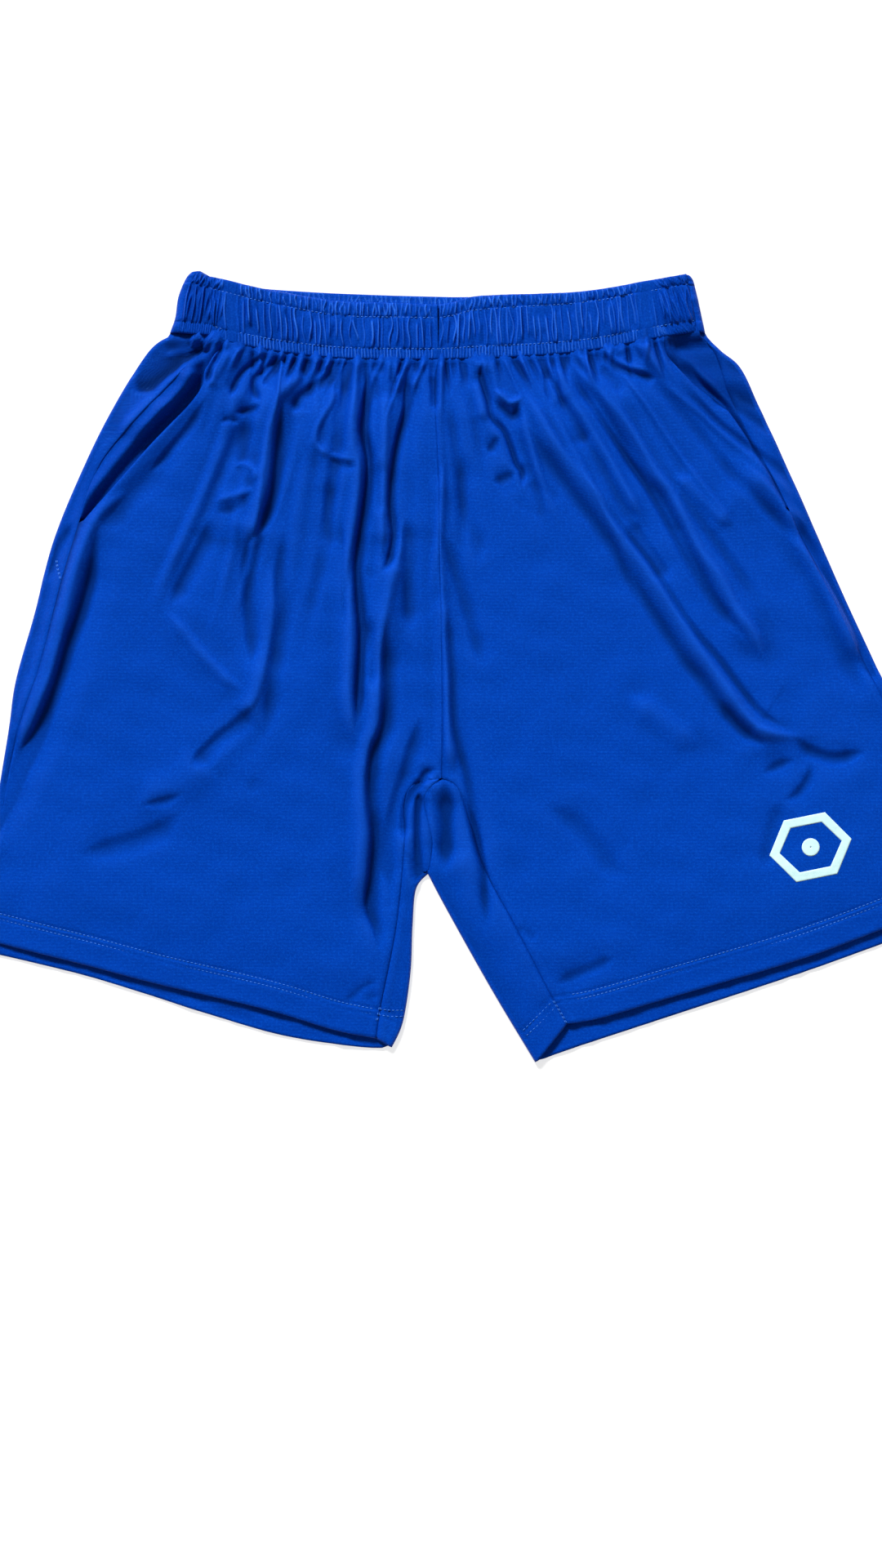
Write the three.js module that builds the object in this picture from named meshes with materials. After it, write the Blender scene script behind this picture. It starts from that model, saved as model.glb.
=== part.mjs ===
// Knit athletic shorts laid flat on a surface, front up, waist towards +Y, in millimetres.
// The upper layer lies on the lower one. The back panels roll round the side edges and the inner legs
// and come up on top of the front for a narrow strip, so the side seams and the inseams show.
import * as THREE from "three";

// Driving sizes
const CLOTH = 1.2; // wall of a knit panel
const ELASTIC = 2.6; // wall of the waistband: elastic between two layers of knit
const PRINT = 0.5; // wall of the printed motif
const SEAM_GAP = 0.3; // between two pieces at a seam
const LIFT = 5.2; // top of the upper layer above the floor, along its edges
const PUFF = 4.2; // how far the upper layer stands higher away from its edges
const PUFF_SIDE = 70; // distance from a side fold at which it is at its full height
const PUFF_LEG = 34; // the same, from an inner fold
const PUFF_WAIST = 46; // the same, from the waistband
const PUFF_HEM = 60; // the same, from a hem
const HEM_SHARE = 0.25; // share of that height left at a hem
const ROLL = 2.8; // how far a rolled edge reaches past its straight part
const FACING_DEPTH = 24; // how far a pocket facing runs in under the pocket mouth
const FACING_LOW = 3.9; // top of the facing under the pocket mouth
const MOUTH_LIFT = 1.6; // how far the pocket mouth gapes
const EAR_LIFT = 8.5; // how far the waistband stands up towards its two ends
const EAR_WIDTH = 34; // width of the stretch that rounds down at each end of the band
const BAND_LIFT = 6.2; // top of the front of the band above the floor at its middle
const BAND_ROLL = 5; // how far the band's rolled end reaches
const BAND_HIGH = 45; // height of the band at its ends
const BAND_BEND = 0.8; // most of the strip beside the band's end that its roll may take
const BAND_CLEAR = 1.2; // the back of the band stays this far above the back panels
const FACING_DROP = 1.5; // the facing meets the side seam this far below the cloth beside it
const CROTCH_CLEAR = 2; // the flaps start this far below the crotch point
const FLAP_TIP = 0.04; // share of the first step of a flap by which its two sides stand apart at the tip
const MOUTH_COLUMNS = 3; // columns of the front panel that the gaping pocket mouth lifts

// Where the seams meet
const WAIST = [-15, 225.4];
const CROTCH = [-12.6, -81.6];
const APEX = [-22.8, -151.8];

// How finely each stretch is divided
const PARTS = {
  frontSeam: 13, // waist to crotch
  inseam: 9, // crotch to hem
  flapSeam: 3, // crotch to apex, on the upper layer
  innerFold: 6, // apex to hem
  backSeam: 16, // waist to apex, on the lower layer
  mouth: 6, // length of the pocket mouth
  side: 16, // below the pocket
  across: 17, // across a front panel
  strip: 2, // side seam to side fold
  roll: 4, // round a rolled edge
  under: 12, // across a back panel, on the lower layer
  flap: 3, // inner fold to inseam
  facing: 3, // across a pocket facing
  band: 3, // across the height of the band
  frontBand: 13, // along one half of the front of the band
  backBand: 12, // along one half of its back
  motifSide: 3, // along a side of the motif's ring
  motifDot: 16, // round its dot
};

// Outlines of the two halves. "right" is the wearer's right, on the -X side. The garment lies a little
// turned, so the halves aren't mirror images. Lines run downwards, or outwards from the middle.
const HALVES = [
  {
    name: "right",
    out: -1,
    top: [WAIST, [-78, 225.8], [-127, 229.8], [-171, 237]],
    mouth: [[-171, 237], [-185, 217], [-191, 199], [-229, 158], [-274, 107]],
    pocketSeam: [[-178, 240], [-204, 214], [-229, 188], [-262, 150], [-278, 106]],
    sideSeam: [[-278, 106], [-291, 62], [-307, 0], [-323, -47], [-336, -110], [-352, -199]],
    edge: [
      [-212, 243], [-229, 230], [-257, 184], [-280, 136], [-299, 88], [-311, 40], [-325, -10], [-331, -50],
      [-345, -130], [-360, -206],
    ],
    inseam: [CROTCH, [-33, -86], [-40, -101], [-40, -131], [-46, -191], [-57, -248], [-60.6, -272.4]],
    innerFold: [APEX, [-31.5, -163], [-34, -190], [-35.5, -224], [-41, -260], [-49.2, -279]],
    frontHem: [[-60.6, -272.4], [-93, -265.8], [-143, -250.8], [-220, -232.8], [-270, -219.6], [-352, -199]],
    backHem: [[-49.2, -279], [-70.8, -279], [-128, -270.6], [-186, -254], [-272, -227], [-360, -206]],
    bandTop: [[-16, 265.6], [-45, 267], [-85, 268], [-120, 272.6], [-150, 277.4], [-182, 285]],
    bandSeam: [[-182, 285], [-179, 241]],
    bandEdge: [[-198, 289.6], [-205.5, 272], [-208, 256], [-212, 244.6]],
    backBandTop: [[-15, 271.8], [-57.6, 273], [-111.6, 275.4], [-166, 280.2], [-198, 289.6]],
  },
  {
    name: "left",
    out: 1,
    top: [WAIST, [33, 226.8], [94, 231.3], [150, 240.6]],
    mouth: [[150, 240.6], [153, 226], [172, 206.4], [197, 187], [225, 144], [239, 115]],
    pocketSeam: [[175, 243.4], [188, 229], [198, 199], [210, 174], [227, 144], [241.6, 114]],
    sideSeam: [[241.6, 114], [263.4, 71.4], [297, 4.2], [320, -46], [338, -112], [351, -176]],
    edge: [
      [181, 243.5], [192, 232], [206, 220], [218, 196], [240, 148], [282.6, 52], [304.8, 4], [326, -44],
      [346, -112], [360, -185],
    ],
    inseam: [CROTCH, [-1.2, -88.8], [9, -115.8], [19.8, -150.6], [40.8, -189.6], [65.4, -237], [79.2, -261.6]],
    innerFold: [APEX, [-10.2, -175.8], [23.4, -235.8], [55.8, -289.8]],
    frontHem: [[79.2, -261.6], [103.8, -257.4], [161.4, -240.6], [249, -214.8], [309.6, -192.6], [351, -176]],
    backHem: [[55.8, -289.8], [87.6, -278.4], [174, -250], [260, -221.4], [360, -185]],
    bandTop: [[-14, 265.8], [-4, 267.6], [10, 271.6], [33, 273], [92, 275], [137, 281.4], [166, 287.6]],
    bandSeam: [[166, 287.6], [173, 245]],
    bandEdge: [[171, 287], [175.4, 268], [180.4, 245]],
    backBandTop: [[-15, 271.8], [4, 271.6], [60, 272.6], [115, 275.6], [171, 287]],
  },
];

// The seam down the middle of the front, and the stretch of back seam that shows between the legs
const FRONT_SEAM = [WAIST, [-18, 205], [-15.6, 150], [-13.6, 60], [-12.2, -20], CROTCH];
const BACK_SEAM = [WAIST, [-15, 60], APEX];
const FLAP_SEAM = [CROTCH, [-25.5, -96.6], [-19.6, -128], APEX];

// Largest folds of the upper layer: the line of the crest, its height and its width on each side
const FOLDS = [
  { crest: [[-74, 215], [-77, 160], [-76, 110], [-80, 50], [-78, -60]], height: 3.4, width: 11 },
  {
    crest: [[-53, 215], [-56, 140], [-46, 85], [-58, 15], [-61, -50], [-71, -120], [-74, -185]],
    height: 3.4,
    width: 10,
  },
  { crest: [[-112, 218], [-134, 190], [-142, 135], [-158, 80]], height: 3.4, width: 12 },
  { crest: [[-192, 215], [-222, 180], [-264, 110], [-287, 40], [-322, -60]], height: 3.6, width: 13 },
  { crest: [[44, 208], [80, 150], [125, 88], [180, 5], [216, -42], [255, -54]], height: 4.4, width: 12 },
  { crest: [[82, 222], [142, 150], [176, 84], [226, 2]], height: 3.4, width: 12 },
  { crest: [[-140, 20], [-152, -30], [-200, -82], [-240, -104]], height: 3, width: 13 },
  { crest: [[195, 160], [236, 118], [270, 58], [300, 0]], height: 3, width: 13 },
];
const FOLD_FADE = 0.16; // share of a fold's length over which it rises at each end
const LINE_STEPS = 24; // how finely a fold or a border is divided when heights are worked out

// Printed motif: a flattened hexagon ring round a dot
const MOTIF = { centre: [257, -132], across: 61, high: 46, stroke: 6.5, dot: 13, turn: 0.2 };

const KNIT = new THREE.MeshStandardMaterial({ color: 0x0346b6, roughness: 0.72, side: THREE.DoubleSide });
const PALE = new THREE.MeshStandardMaterial({ color: 0xcefbfb, roughness: 0.5 });

const mix = (a, b, share) => a + (b - a) * share;
const mixPoint = (p, q, share) => [mix(p[0], q[0], share), mix(p[1], q[1], share)];
const smooth = (share) => {
  const s = Math.min(Math.max(share, 0), 1);
  return s * s * (3 - 2 * s);
};

// Evenly spaced points along a smooth line through the given ones
function spaced(points, count) {
  const curve = new THREE.SplineCurve(points.map(([x, y]) => new THREE.Vector2(x, y)));
  return Array.from({ length: count + 1 }, (_, i) => curve.getPointAt(i / count).toArray());
}

// Unit direction across a line at each of its points: to the left of travel
function across(line) {
  return line.map((_, i) => {
    const before = line[Math.max(i - 1, 0)];
    const after = line[Math.min(i + 1, line.length - 1)];
    const run = [after[0] - before[0], after[1] - before[1]];
    const length = Math.hypot(...run);
    return [-run[1] / length, run[0] / length];
  });
}

function shifted(line, distance) {
  const sides = across(line);
  return line.map(([x, y], i) => [x + sides[i][0] * distance, y + sides[i][1] * distance]);
}

const joined = (first, second) => [...first, ...second.slice(1)];

// Rows of points that fill the space between four border lines
function filled(top, bottom, inner, outer) {
  const rows = inner.length - 1;
  const columns = top.length - 1;
  return inner.map((left, j) =>
    top.map((high, i) => {
      const u = i / columns;
      const v = j / rows;
      return [0, 1].map((k) => {
        const corners = mix(mix(top[0][k], top[columns][k], u), mix(bottom[0][k], bottom[columns][k], u), v);
        return mix(high[k], bottom[i][k], v) + mix(left[k], outer[j][k], u) - corners;
      });
    }),
  );
}

// Distance from a point to a line of points, and how far along the line the nearest place is
function distanceTo(line, x, y) {
  let nearest = Infinity;
  let along = 0;
  for (let i = 0; i < line.length - 1; i++) {
    const [ax, ay] = line[i];
    const [bx, by] = line[i + 1];
    const share = ((x - ax) * (bx - ax) + (y - ay) * (by - ay)) / ((bx - ax) ** 2 + (by - ay) ** 2);
    const held = Math.min(Math.max(share, 0), 1);
    const distance = Math.hypot(x - mix(ax, bx, held), y - mix(ay, by, held));
    if (distance < nearest) {
      nearest = distance;
      along = (i + held) / (line.length - 1);
    }
  }
  return [nearest, along];
}

const lineFor = (points) => spaced(points, LINE_STEPS);
const crests = FOLDS.map((fold) => ({ ...fold, line: lineFor(fold.crest) }));
const borders = [
  { lines: HALVES.map((half) => lineFor(half.edge)), width: PUFF_SIDE, left: 0 },
  { lines: HALVES.map((half) => lineFor(half.innerFold)), width: PUFF_LEG, left: 0 },
  { lines: HALVES.map((half) => lineFor([...half.top, half.bandSeam[1]])), width: PUFF_WAIST, left: 0 },
  { lines: HALVES.map((half) => lineFor(half.frontHem)), width: PUFF_HEM, left: HEM_SHARE },
];

// Height that one fold adds at a point
function foldHeight(fold, x, y) {
  const [distance, along] = distanceTo(fold.line, x, y);
  const ends = smooth(along / FOLD_FADE) * smooth((1 - along) / FOLD_FADE);
  return fold.height * ends * Math.exp(-((distance / fold.width) ** 2));
}

// Outer face of the upper layer
function topHeight([x, y]) {
  const share = borders.reduce((product, { lines, width, left }) => {
    const distance = Math.min(...lines.map((line) => distanceTo(line, x, y)[0]));
    return product * mix(left, 1, smooth(distance / width));
  }, 1);
  return LIFT + PUFF * share + crests.reduce((sum, fold) => sum + foldHeight(fold, x, y), 0);
}

// A cloth piece: points of its outer face, each with its outward direction, joined by quads
class Sheet {
  constructor() {
    this.points = [];
    this.outs = [];
    this.quads = [];
  }

  add([x, y], z, out) {
    this.points.push([x, y, z]);
    this.outs.push(out);
    return this.points.length - 1;
  }

  grid(rows) {
    for (let j = 1; j < rows.length; j++)
      for (let i = 1; i < rows[j].length; i++)
        this.quads.push([rows[j - 1][i - 1], rows[j - 1][i], rows[j][i], rows[j][i - 1]]);
  }

  // Closed mesh: the outer face, the inner face a wall away, and the rim between them
  mesh(name, wall, material) {
    const count = this.points.length;
    const inner = this.points.map((p, i) => p.map((c, k) => c - this.outs[i][k] * wall));
    const faces = [];
    const edges = new Map();
    for (const [a, b, c, d] of this.quads) {
      faces.push([a, b, c], [a, c, d]);
      faces.push([a + count, c + count, b + count], [a + count, d + count, c + count]);
      for (const [from, to] of [[a, b], [b, c], [c, d], [d, a]]) edges.set(`${from} ${to}`, [from, to]);
    }
    for (const [from, to] of edges.values()) {
      if (edges.has(`${to} ${from}`)) continue;
      faces.push([to, from, from + count], [to, from + count, to + count]);
    }
    const all = [...this.points, ...inner];
    const at = all.map((p) => new THREE.Vector3(...p));
    const sixfold = faces.reduce((sum, [a, b, c]) => sum + at[a].dot(at[b].clone().cross(at[c])), 0);
    const facing = sixfold < 0 ? faces.map(([a, b, c]) => [a, c, b]) : faces;
    const geometry = new THREE.BufferGeometry();
    geometry.setAttribute("position", new THREE.BufferAttribute(new Float32Array(all.flat()), 3));
    geometry.setIndex(facing.flat());
    geometry.computeVertexNormals();
    const mesh = new THREE.Mesh(geometry, material);
    mesh.name = name;
    return mesh;
  }
}

const UP = [0, 0, 1];
const DOWN = [0, 0, -1];

// Points round a rolled edge, from the upper layer down to the floor
function roll(sheet, [x, y], side, height, reach) {
  return Array.from({ length: PARTS.roll + 1 }, (_, i) => {
    const angle = (Math.PI * i) / PARTS.roll;
    const sine = Math.sin(angle);
    const cosine = Math.cos(angle);
    const place = [x + side[0] * reach * sine, y + side[1] * reach * sine];
    const z = i === PARTS.roll ? 0 : (height / 2) * (1 + cosine);
    return sheet.add(place, z, [side[0] * sine, side[1] * sine, cosine]);
  });
}

// Lines that neighbouring pieces share, divided once so that both sides meet point for point
function linesOf(half) {
  const away = (SEAM_GAP / 2) * half.out;
  const pocketSeam = spaced(half.pocketSeam, PARTS.mouth);
  const sideSeam = spaced(half.sideSeam, PARTS.side);
  const seam = joined(pocketSeam, sideSeam);
  const inseam = spaced(half.inseam, PARTS.inseam);
  const edge = spaced(half.edge, PARTS.mouth + PARTS.side);
  const fold = spaced(half.innerFold, PARTS.innerFold);
  return { away, pocketSeam, sideSeam, seam, inseam, edge, fold };
}

function frontPanel(half) {
  const { away, sideSeam, inseam } = linesOf(half);
  const sheet = new Sheet();
  const middle = shifted(spaced(FRONT_SEAM, PARTS.frontSeam), away);
  const inner = joined(middle, shifted(inseam, away));
  const outer = joined(spaced(half.mouth, PARTS.mouth), shifted(sideSeam, -away));
  const top = spaced(half.top, PARTS.across);
  const bottom = spaced(half.frontHem, PARTS.across);
  for (const [line, from, to] of [[top, inner[0], outer[0]], [bottom, inner.at(-1), outer.at(-1)]]) {
    line[0] = from;
    line[line.length - 1] = to;
  }
  const rows = filled(top, bottom, inner, outer).map((row, j) =>
    row.map((place, i) => {
      const columns = (i - PARTS.across + MOUTH_COLUMNS) / MOUTH_COLUMNS;
      const nearMouth = smooth(1 - j / (PARTS.mouth + 1)) * smooth(columns);
      return sheet.add(place, topHeight(place) + MOUTH_LIFT * nearMouth, UP);
    }),
  );
  sheet.grid(rows);
  return sheet.mesh(`front_panel_${half.name}`, CLOTH, KNIT);
}

function backPanel(half) {
  const { away, seam, inseam, edge, fold } = linesOf(half);
  const sheet = new Sheet();
  const outward = across(edge).map(([x, y]) => [x * half.out, y * half.out]);
  const inset = edge.map(([x, y], j) => [x - outward[j][0] * ROLL, y - outward[j][1] * ROLL]);
  const seamSide = shifted(seam, away);

  // Lower layer, from the side fold to the back seam and the inner fold
  const gapSide = across(fold).map(([x, y], j) => (j ? [-x * half.out, -y * half.out] : [0, -1]));
  const foldInset = fold.map(([x, y], j) => [x - gapSide[j][0] * ROLL + (j ? 0 : away), y - gapSide[j][1] * ROLL]);
  const backSeam = shifted(spaced(BACK_SEAM, PARTS.backSeam), away);
  backSeam[PARTS.backSeam] = foldInset[0];
  const inner = joined(backSeam, foldInset);
  const top = spaced([inset[0], half.top[2], half.top[1], inner[0]], PARTS.under);
  const bottom = spaced([...half.backHem].reverse(), PARTS.under);
  [top, bottom].forEach((line, k) => {
    line[0] = inset[k ? inset.length - 1 : 0];
    line[PARTS.under] = inner[k ? inner.length - 1 : 0];
  });
  const under = filled(top, bottom, inset, inner);

  const rows = under.map((row, j) => {
    const strip = Array.from({ length: PARTS.strip }, (_, i) => {
      const place = mixPoint(seamSide[j], inset[j], i / PARTS.strip);
      return sheet.add(place, topHeight(place), UP);
    });
    const round = roll(sheet, inset[j], outward[j], topHeight(inset[j]), ROLL);
    return [...strip, ...round, ...row.slice(1).map((place) => sheet.add(place, 0, DOWN))];
  });
  sheet.grid(rows);

  // Roll round the inner leg, and the flap that comes up to the inseam
  const insideOut = foldInset.map((place, j) => {
    const points = roll(sheet, place, gapSide[j], topHeight(place), ROLL).reverse();
    points[0] = rows[PARTS.backSeam + j].at(-1);
    return points;
  });
  sheet.grid(insideOut);
  const flapSeam = shifted(spaced(FLAP_SEAM, PARTS.flapSeam), away);
  const legSeam = shifted(inseam, -away);
  const start = mixPoint(flapSeam[1], legSeam[1], 0.5);
  const toStart = CROTCH_CLEAR / Math.hypot(start[0] - CROTCH[0], start[1] - CROTCH[1]);
  const tip = mixPoint(CROTCH, start, toStart);
  const flap = legSeam.map((place, j) => {
    const to = j ? place : mixPoint(tip, legSeam[1], FLAP_TIP);
    const showsSeam = j < PARTS.flapSeam;
    const from = showsSeam ? (j ? flapSeam[j] : mixPoint(tip, flapSeam[1], FLAP_TIP)) : foldInset[j - PARTS.flapSeam];
    const first = showsSeam ? sheet.add(from, topHeight(from), UP) : insideOut[j - PARTS.flapSeam].at(-1);
    const rest = Array.from({ length: PARTS.flap }, (_, i) => {
      const point = mixPoint(from, to, (i + 1) / PARTS.flap);
      return sheet.add(point, topHeight(point), UP);
    });
    return [first, ...rest];
  });
  sheet.grid(flap);
  return sheet.mesh(`back_panel_${half.name}`, CLOTH, KNIT);
}

function pocketFacing(half) {
  const { away, pocketSeam } = linesOf(half);
  const sheet = new Sheet();
  const outer = shifted(pocketSeam, -away);
  const mouth = spaced(half.mouth, PARTS.mouth);
  const rows = mouth.slice(0, PARTS.mouth).map((place, j) => {
    const drop = j ? 0 : BAND_CLEAR;
    const from = [place[0] - half.out * FACING_DEPTH, place[1] - drop];
    const to = [outer[j][0], outer[j][1] - drop];
    return Array.from({ length: PARTS.facing + 1 }, (_, i) => {
      const share = i / PARTS.facing;
      const point = mixPoint(from, to, share);
      const atSeam = topHeight(outer[j]) - FACING_DROP;
      const under = Math.hypot(place[0] - from[0], place[1] - from[1]);
      const whole = Math.hypot(outer[j][0] - from[0], outer[j][1] - from[1]);
      const rise = smooth((share * whole - under) / Math.max(whole - under, 1));
      return sheet.add(point, mix(FACING_LOW, atSeam, rise), UP);
    });
  });
  sheet.grid(rows);
  return sheet.mesh(`pocket_facing_${half.name}`, CLOTH, KNIT);
}

// Height of the band's outer face: it lies lowest at its middle and rounds down again at each end
function bandHeight(half, [x, y]) {
  const end = mix(half.bandEdge[0][0], half.bandEdge.at(-1)[0], (half.bandEdge[0][1] - y) / BAND_HIGH);
  const fromEnd = (end - x) * half.out;
  const fromMiddle = (x - WAIST[0]) * half.out;
  const rise = smooth(fromMiddle / (fromMiddle + Math.max(fromEnd - EAR_WIDTH, 1)));
  const fall = smooth((fromEnd + EAR_WIDTH * 0.35) / (EAR_WIDTH * 1.35));
  return BAND_LIFT + EAR_LIFT * rise ** 4 * fall;
}

function frontBand(half) {
  const columns = PARTS.frontBand;
  const sheet = new Sheet();
  const away = (SEAM_GAP / 2) * half.out;
  const low = spaced([...half.top, half.bandSeam[1]], columns).map(([x, y]) => [x, y + SEAM_GAP]);
  const high = spaced(half.bandTop, columns);
  const rows = Array.from({ length: PARTS.band + 1 }, (_, j) =>
    low.map((place, i) => {
      const point = mixPoint(high[i], place, j / PARTS.band);
      const inset = i === 0 ? away : i === columns ? -away : 0;
      const held = [point[0] + inset, point[1]];
      return sheet.add(held, bandHeight(half, held), UP);
    }),
  );
  sheet.grid(rows);
  return sheet.mesh(`waistband_front_${half.name}`, ELASTIC, KNIT);
}

function backBand(half) {
  const columns = PARTS.backBand;
  const sheet = new Sheet();
  const away = (SEAM_GAP / 2) * half.out;
  const edge = spaced(half.bandEdge, PARTS.band);
  const seam = spaced(half.bandSeam, PARTS.band);
  const bottomLine = spaced([edge.at(-1), half.top.at(-1), half.top[1], WAIST], columns);
  const topLine = spaced([...half.backBandTop].reverse(), columns);
  const rows = edge.map((place, j) => {
    const start = [seam[j][0] + away, seam[j][1]];
    const reach = Math.min(BAND_ROLL, Math.abs(place[0] - start[0]) * BAND_BEND);
    const inset = [place[0] - half.out * reach, place[1]];
    const height = bandHeight(half, inset);
    const first = sheet.add(start, bandHeight(half, start), UP);
    const round = roll(sheet, inset, [half.out, 0], height, reach);
    const under = Array.from({ length: columns }, (_, i) => {
      const share = (i + 1) / columns;
      const goal = mixPoint(topLine[i + 1], bottomLine[i + 1], j / PARTS.band);
      const point = mixPoint(inset, goal, smooth(share * 3));
      const last = i === columns - 1 ? away : 0;
      return sheet.add([point[0] + last, point[1] + (BAND_CLEAR * j) / PARTS.band], 0, DOWN);
    });
    return [first, ...round, ...under];
  });
  sheet.grid(rows);
  return sheet.mesh(`waistband_back_${half.name}`, ELASTIC, KNIT);
}

// A print lies on the panel: its points are the panel's, moved out by a seam gap and its own wall
function printed(name, rings) {
  const sheet = new Sheet();
  const raised = (place) => sheet.add(place, topHeight(place) + SEAM_GAP + PRINT, UP);
  const rows = rings.map((ring) => ring.map(raised));
  for (const row of rows) row.push(row[0]);
  sheet.grid(rows);
  return sheet.mesh(name, PRINT, PALE);
}

function motifPoint(distanceX, distanceY, angle) {
  const [x, y] = [Math.cos(angle) * distanceX, Math.sin(angle) * distanceY];
  const { centre, turn } = MOTIF;
  const [sine, cosine] = [Math.sin(turn), Math.cos(turn)];
  return [centre[0] + x * cosine - y * sine, centre[1] + x * sine + y * cosine];
}

function hexagon(width, height) {
  const tall = height / 2 / Math.sin(Math.PI / 3);
  const corners = Array.from({ length: 6 }, (_, i) => motifPoint(width / 2, tall, (Math.PI * i) / 3));
  const steps = Array.from({ length: PARTS.motifSide }, (_, k) => k / PARTS.motifSide);
  return corners.flatMap((corner, i) => steps.map((share) => mixPoint(corner, corners[(i + 1) % 6], share)));
}

function circle(diameter) {
  const parts = PARTS.motifDot;
  return Array.from({ length: parts }, (_, i) => motifPoint(diameter / 2, diameter / 2, (2 * Math.PI * i) / parts));
}

const shorts = new THREE.Group();
for (const half of HALVES) {
  shorts.add(frontPanel(half), backPanel(half), pocketFacing(half), frontBand(half), backBand(half));
}
const { across: motifWidth, high: motifHeight, stroke, dot } = MOTIF;
const inside = hexagon(motifWidth - (2 * stroke) / Math.sin(Math.PI / 3), motifHeight - 2 * stroke);
shorts.add(printed("motif_ring", [hexagon(motifWidth, motifHeight), inside]));
shorts.add(printed("motif_dot", [circle(dot), circle(dot / 2), circle(dot / 20)]));

export default shorts;
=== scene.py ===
"""Knit athletic shorts laid flat on a white surface, front up, waist towards +Y.

The upper layer lies on the lower one. The back panels roll round the side edges and the inner legs and
come up beside the front as a narrow strip. Outlines and folds are in millimetres, meshes in metres.
"""

import math

import bmesh
import bpy
import numpy as np
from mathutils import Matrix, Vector


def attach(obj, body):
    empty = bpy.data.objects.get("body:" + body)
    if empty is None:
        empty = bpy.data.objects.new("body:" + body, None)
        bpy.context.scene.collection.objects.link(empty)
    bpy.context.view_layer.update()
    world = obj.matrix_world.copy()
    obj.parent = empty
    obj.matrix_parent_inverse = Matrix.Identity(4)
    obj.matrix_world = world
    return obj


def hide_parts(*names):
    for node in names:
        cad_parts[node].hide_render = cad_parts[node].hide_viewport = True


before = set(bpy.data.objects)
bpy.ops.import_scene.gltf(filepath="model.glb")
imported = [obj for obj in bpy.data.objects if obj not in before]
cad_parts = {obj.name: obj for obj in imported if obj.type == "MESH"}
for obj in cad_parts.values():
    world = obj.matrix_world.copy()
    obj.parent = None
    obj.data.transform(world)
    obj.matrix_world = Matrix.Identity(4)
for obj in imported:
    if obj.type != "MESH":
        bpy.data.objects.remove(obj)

bl_info = {
    "name": "Knit athletic shorts",
    "version": (1, 0, 0),
    "blender": (4, 5, 0),
    "location": "3D View > Sidebar > Shorts",
    "description": "Shorts with gathered waistband, side pockets and hems, laid flat",
    "category": "Object",
}

MM = 0.001

# Where the seams meet
WAIST = (-15, 225.4)
CROTCH = (-12.6, -81.6)
APEX = (-22.8, -151.8)

# Outlines of the two halves. "right" is the wearer's right, on the -X side. Lines run downwards, or outwards
# from the middle.
HALVES = {
    "right": {
        "out": -1,
        "top": [WAIST, (-78, 225.8), (-127, 229.8), (-171, 237)],
        "mouth": [(-171, 237), (-185, 217), (-191, 199), (-229, 158), (-274, 107)],
        "pocket_seam": [(-178, 240), (-204, 214), (-229, 188), (-262, 150), (-278, 106)],
        "side_seam": [(-278, 106), (-291, 62), (-307, 0), (-323, -47), (-336, -110), (-352, -199)],
        "edge": [
            (-212, 243), (-229, 230), (-257, 184), (-280, 136), (-299, 88), (-311, 40), (-325, -10),
            (-331, -50), (-345, -130), (-360, -206),
        ],
        "inseam": [CROTCH, (-33, -86), (-40, -101), (-40, -131), (-46, -191), (-57, -248), (-60.6, -272.4)],
        "inner_fold": [APEX, (-31.5, -163), (-34, -190), (-35.5, -224), (-41, -260), (-49.2, -279)],
        "front_hem": [
            (-60.6, -272.4), (-93, -265.8), (-143, -250.8), (-220, -232.8), (-270, -219.6), (-352, -199),
        ],
        "back_hem": [(-49.2, -279), (-70.8, -279), (-128, -270.6), (-186, -254), (-272, -227), (-360, -206)],
        "band_top": [(-16, 265.6), (-45, 267), (-85, 268), (-120, 272.6), (-150, 277.4), (-182, 285)],
        "band_seam": [(-182, 285), (-179, 241)],
        "band_edge": [(-198, 289.6), (-205.5, 272), (-208, 256), (-212, 244.6)],
        "back_band_top": [(-15, 271.8), (-57.6, 273), (-111.6, 275.4), (-166, 280.2), (-198, 289.6)],
    },
    "left": {
        "out": 1,
        "top": [WAIST, (33, 226.8), (94, 231.3), (150, 240.6)],
        "mouth": [(150, 240.6), (153, 226), (172, 206.4), (197, 187), (225, 144), (239, 115)],
        "pocket_seam": [(175, 243.4), (188, 229), (198, 199), (210, 174), (227, 144), (241.6, 114)],
        "side_seam": [(241.6, 114), (263.4, 71.4), (297, 4.2), (320, -46), (338, -112), (351, -176)],
        "edge": [
            (181, 243.5), (192, 232), (206, 220), (218, 196), (240, 148), (282.6, 52), (304.8, 4),
            (326, -44), (346, -112), (360, -185),
        ],
        "inseam": [
            CROTCH, (-1.2, -88.8), (9, -115.8), (19.8, -150.6), (40.8, -189.6), (65.4, -237), (79.2, -261.6),
        ],
        "inner_fold": [APEX, (-10.2, -175.8), (23.4, -235.8), (55.8, -289.8)],
        "front_hem": [
            (79.2, -261.6), (103.8, -257.4), (161.4, -240.6), (249, -214.8), (309.6, -192.6), (351, -176),
        ],
        "back_hem": [(55.8, -289.8), (87.6, -278.4), (174, -250), (260, -221.4), (360, -185)],
        "band_top": [
            (-14, 265.8), (-4, 267.6), (10, 271.6), (33, 273), (92, 275), (137, 281.4), (166, 287.6),
        ],
        "band_seam": [(166, 287.6), (173, 245)],
        "band_edge": [(171, 287), (175.4, 268), (180.4, 245)],
        "back_band_top": [(-15, 271.8), (4, 271.6), (60, 272.6), (115, 275.6), (171, 287)],
    },
}

# The seam down the middle of the front, and the stretch of back seam that shows between the legs
FRONT_SEAM = [WAIST, (-18, 205), (-15.6, 150), (-13.6, 60), (-12.2, -20), CROTCH]
BACK_SEAM = [WAIST, (-15, 60), APEX]
FLAP_SEAM = [CROTCH, (-25.5, -96.6), (-19.6, -128), APEX]

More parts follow.
